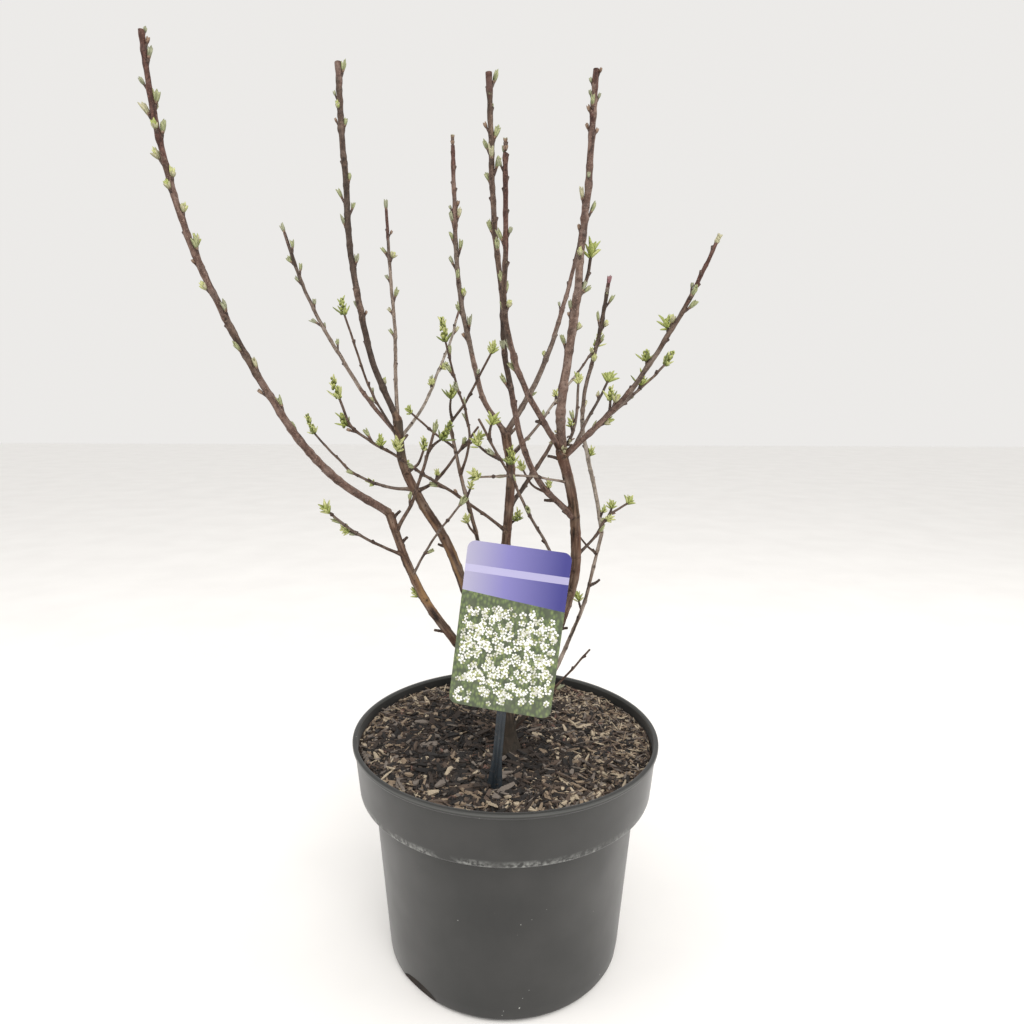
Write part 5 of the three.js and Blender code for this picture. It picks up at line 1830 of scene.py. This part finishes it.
def add_peg(heap, root, stem, out, length, tip, chance):
    """A bracket that leaves the stem and turns upwards. Returns its end and direction."""
    first, last = unit(0.7 * stem + 0.7 * out), unit(stem + chance.uniform(0.25, 0.5) * out)
    line = bent_line(root - PEG_SUNK * out, first, last, length + PEG_SUNK)
    run = np.linspace(0, length + PEG_SUNK, 7)
    add_tube(heap, line, tip + 0.75 * np.exp(-run / 1.4), 7, PEG, tone=0.2 + 0.5 * chance.random(7),
             dome=0.3)
    return line[-1], last


def add_scales(heap, point, along, count, length, width, chance, slot=SCALE, close=0.15):
    for out in ring_of(along, count, chance):
        direction = unit(along + 0.3 * out)
        add_leaflet(heap, point - 0.6 * along + 0.3 * out, direction, along - out, length, width, slot,
                    0.5, -close, 0.5)


def add_club(heap, point, along, length, width, slot, chance):
    """A closed bud: leaflets that bulge and meet at their tips."""
    add_scales(heap, point, along, 3, 0.42 * length, 0.55 * width, chance)
    for k, out in enumerate(ring_of(along, 5, chance)):
        direction = unit(along + chance.uniform(0.13, 0.28) * out)
        long = length * chance.uniform(0.74, 1.06)
        bend = -0.17 + (0.22 if k == 0 else 0.12 * chance.random())
        add_leaflet(heap, point + 0.11 * width * out, direction, along - out, long, 0.6 * width, slot,
                    0.5, bend, 0.5)


def add_small_tuft(heap, point, along, length, slots, node, chance):
    """An opening bud: a club with short plump leaflets of two kinds round it."""
    add_club(heap, point, along, length, 3.6, slots[0], chance)
    for k, out in enumerate(ring_of(along, int(chance.integers(7, 10)), chance)):
        direction = unit(along + chance.uniform(0.15, 0.6) * out)
        long = length * chance.uniform(0.5, 0.85)
        if is_free(point + 0.8 * long * direction, node):
            add_leaflet(heap, point + (0.25 + 0.5 * (k % 2)) * out, direction, along - out, long,
                        chance.uniform(2.2, 3.2), slots[k % 2], 0.5, chance.uniform(-0.12, 0.08), 0.4)


def add_bud(heap, spot, chance):
    """One bud, peg or scar at a spot."""
    kind, out, stem, point = (spot[key] for key in ("kind", "out", "stem", "point"))
    node = spot["limb"].node
    if kind in "sd":
        line = point + np.linspace(-0.6, 0.45, 3)[:, None] * out
        add_tube(heap, line, SCAR_RADII, 8, BUD_CREAM if kind == "s" else PEG, tone=0.3, dome=0.1)
        return
    if kind == "c":
        for _ in range(12):
            direction = unit(out + 0.9 * stem + 0.8 * chance.standard_normal(3))
            add_leaflet(heap, point + out + 1.7 * chance.standard_normal(3), direction, stem,
                        chance.uniform(2.4, 5.0), chance.uniform(1.6, 2.8),
                        int(chance.choice((BUD_CREAM, SCALE, PEG))), 0.4, 0.1, 0.4)
        return
    if not is_free(point + 6 * unit(stem + 0.5 * out), node):
        return
    gain = 0.84 + 0.16 * chance.random()
    length = gain * chance.uniform(*PEG_LENGTH[kind])
    tip, along = add_peg(heap, point, stem, out, length, gain * PEG_TIP[kind], chance)
    green = int(chance.choice((BUD_GREEN, BUD_GREY, BUD_CREAM), p=(0.64, 0.26, 0.10)))
    if kind == "g":
        length = gain * chance.uniform(*BUD_LENGTH)
        add_club(heap, tip, along, length, gain * chance.uniform(*BUD_WIDTH), green, chance)
    if kind == "n":
        length = chance.uniform(3.2, 5.0)
        slot = int(chance.choice((SCALE, BUD_GREY)))
        add_scales(heap, tip, along, 3, length, 1.8, chance, slot)
    if kind == "t":
        leaf = len(BUD_COLOURS) + deal_green(chance)
        add_small_tuft(heap, tip, along, gain * chance.uniform(6.6, 8.6), (leaf, BUD_CREAM), node, chance)


def add_end(heap, spot, chance):
    """The bud at the very end of a twig."""
    point, along, look = spot["point"], spot["along"], END_LOOK.get(spot["limb"].name, "green")
    if look in ("green", "pale"):
        slot = BUD_GREEN if look == "green" else BUD_GREY
        add_club(heap, point - 0.5 * along, along, 10.8, 5.0, slot, chance)
        return
    if look == "purple":
        add_club(heap, point - 2 * along, along, 8.5, 4.8, BUD_PURPLE, chance)
        return
    point = point + END_SHIFT.get(spot["limb"].name, 0) * along
    for level in range(3):
        slot = BUD_CREAM if look == "pink" else (SCALE, PEG, SCALE)[level]
        foot = point + (1.7 * level - 1.6) * along
        add_scales(heap, foot, along, 4, 3.4, 2.4 - 0.3 * level, chance, slot, -0.06)
    if look == "scaly":
        add_scales(heap, point + 2.4 * along, along, 4, 3.0, 1.9, chance, BUD_GREY, 0.0)


def build_buds():
    chance = np.random.default_rng(33)
    heap = Heap()
    for spot in spots:
        if spot["kind"] == "end_bud":
            add_end(heap, spot, chance)
    tip = limbs["centre_left"].frame(1)
    add_end(heap, dict(point=tip[0], along=tip[1], limb=limbs["centre_left"]), chance)
    for spot in bud_spots:
        add_bud(heap, spot, chance)
    skins = [twig_bark(name, *BUD_COLOURS[name]) for name in ("bud_peg", "bud_scale")]
    skins += [leaf_green(name, *BUD_COLOURS[name]) for name in list(BUD_COLOURS)[2:]]
    return heap.build("opening_buds", skins + GREENS, "twigs")


build_buds()

# %% [markdown]
# A tuft stands on the end of a spur or a thin twig and turns upwards. One sort is a young flower
# stalk, close-set with round green beads that will open as white blossom, with narrow leaflets
# along it and two or three that spread at its foot. The other sort is a fan of leaflets. The
# beads are copies of a small ball and make a piece of their own, as do the leaves.

# %% Tufts and flower beads
BEAD_SHARE = 0.5             # share of the other tufts with a flower stalk
BEAD_RADIUS = (0.8, 1.3)
RISING = 0.7                 # how strongly a tuft turns upwards
UP = np.array((0.0, 0.0, 1.0))


def bead_pattern():
    bm = bmesh.new()
    bmesh.ops.create_icosphere(bm, subdivisions=2, radius=1)
    return pattern(bm)


BEAD = bead_pattern()


def add_stalk(leaves, beads, point, along, length, green, node, chance):
    """A curved stalk with beads and narrow leaflets all round, and a few that spread at its foot."""
    points, faces = BEAD
    last = unit(along + chance.uniform(0.2, 1.0) * UP + 0.3 * chance.standard_normal(3))
    line = bent_line(point, along, last, length, 9)
    add_tube(beads, line, np.linspace(0.7, 0.4, 9), 6, 0, tone=0.4)
    directions = unit(np.gradient(line, axis=0))
    count = int(length * 1.4)
    for k in range(count):
        share = (k + 0.5) / count
        step = min(8, int(share * 9))
        side = any_side(directions[step])
        out = spun(side, np.cross(directions[step], side), k * GOLDEN_TURN)
        radius = chance.uniform(*BEAD_RADIUS) * (1.05 - 0.25 * share)
        reach = (1.9 - 1.1 * share ** 2) * chance.uniform(0.6, 1.25)
        middle = line[step] + (0.8 + 0.5 * radius) * directions[step] + reach * out
        paler = int(chance.random() < 0.45)
        # Painted light: each bead is paler on its top and on its side away from the stalk, and darker
        # towards the stalk.
        beads.add(points * (radius, radius, 1.5 * radius) + middle, faces, paler,
                  np.clip(0.35 + 0.5 * points[:, 2] + 0.2 * points @ out, 0, 1))
        if k % 2 == 0 and share < 0.9:
            direction = unit(directions[step] + 0.45 * out)
            long = chance.uniform(4.0, 6.5)
            if is_free(middle + long * direction, node):
                add_leaflet(leaves, line[step] + 0.5 * out, direction, directions[step] - out, long,
                            chance.uniform(1.3, 2.0), green, 0.5, 0.05, 0.4)
    for out in ring_of(along, int(chance.integers(3, 6)), chance, 0.8):
        direction = unit(along + chance.uniform(0.8, 1.9) * out)
        long = chance.uniform(6.5, 11.0)
        if is_free(point + 0.8 * long * direction, node):
            add_leaflet(leaves, point - 0.5 * along + 0.3 * out, direction, along - out, long,
                        chance.uniform(1.5, 2.3), int(chance.choice((green, DARK))), 0.45, -0.12, 0.3)


def add_fan(leaves, point, along, size, green, node, chance):
    """A fan of leaflets: outer ones spread, the inner ones stand upright."""
    gain = size / 8
    side = any_side(along)
    other = np.cross(along, side)
    count = int(chance.integers(9, 14))
    for k in range(count):
        level = k / count
        out = spun(side, other, k * GOLDEN_TURN + 0.4 * chance.random())
        lean = max(4, 44 - 38 * level + chance.normal(0, 7)) * DEGREE
        direction = unit(spun(along, out, lean))
        length = gain * chance.uniform(5.2, 8.8) * (0.8 + 0.35 * level)
        root = point + (2.6 * level - 1.8) * along + 0.4 * out
        if is_free(root + 0.7 * length * direction, node):
            slot = green if chance.random() < 0.65 else deal_green(chance)
            width = gain * chance.uniform(2.2, 3.4)
            add_leaflet(leaves, root, direction, along - 0.3 * out, length, width, slot,
                        chance.uniform(0.35, 0.65), chance.uniform(0.0, 0.2), 0.4)


def build_tufts():
    chance = np.random.default_rng(8)
    leaves, beads = Heap(), Heap()
    for point, along, limb, share in tuft_ends:
        along = unit(along + RISING * chance.uniform(0.4, 1.2) * UP)
        size = tuft_size(limb.name, share)
        stalky, size = size or (chance.random() < BEAD_SHARE, chance.uniform(6, 9))
        green = deal_green(chance)
        if stalky:
            add_stalk(leaves, beads, point, along, size, green, limb.node, chance)
        else:
            add_fan(leaves, point, along, size, green, limb.node, chance)
    leaves.build("young_leaves", GREENS, "twigs")
    bead_materials = [leaf_green("bead_green", (0.215, 0.245, 0.042), (0.45, 0.47, 0.15)),
                      leaf_green("bead_pale", (0.27, 0.315, 0.070), (0.50, 0.53, 0.22))]
    beads.build("flower_beads", bead_materials, "twigs")


build_tufts()
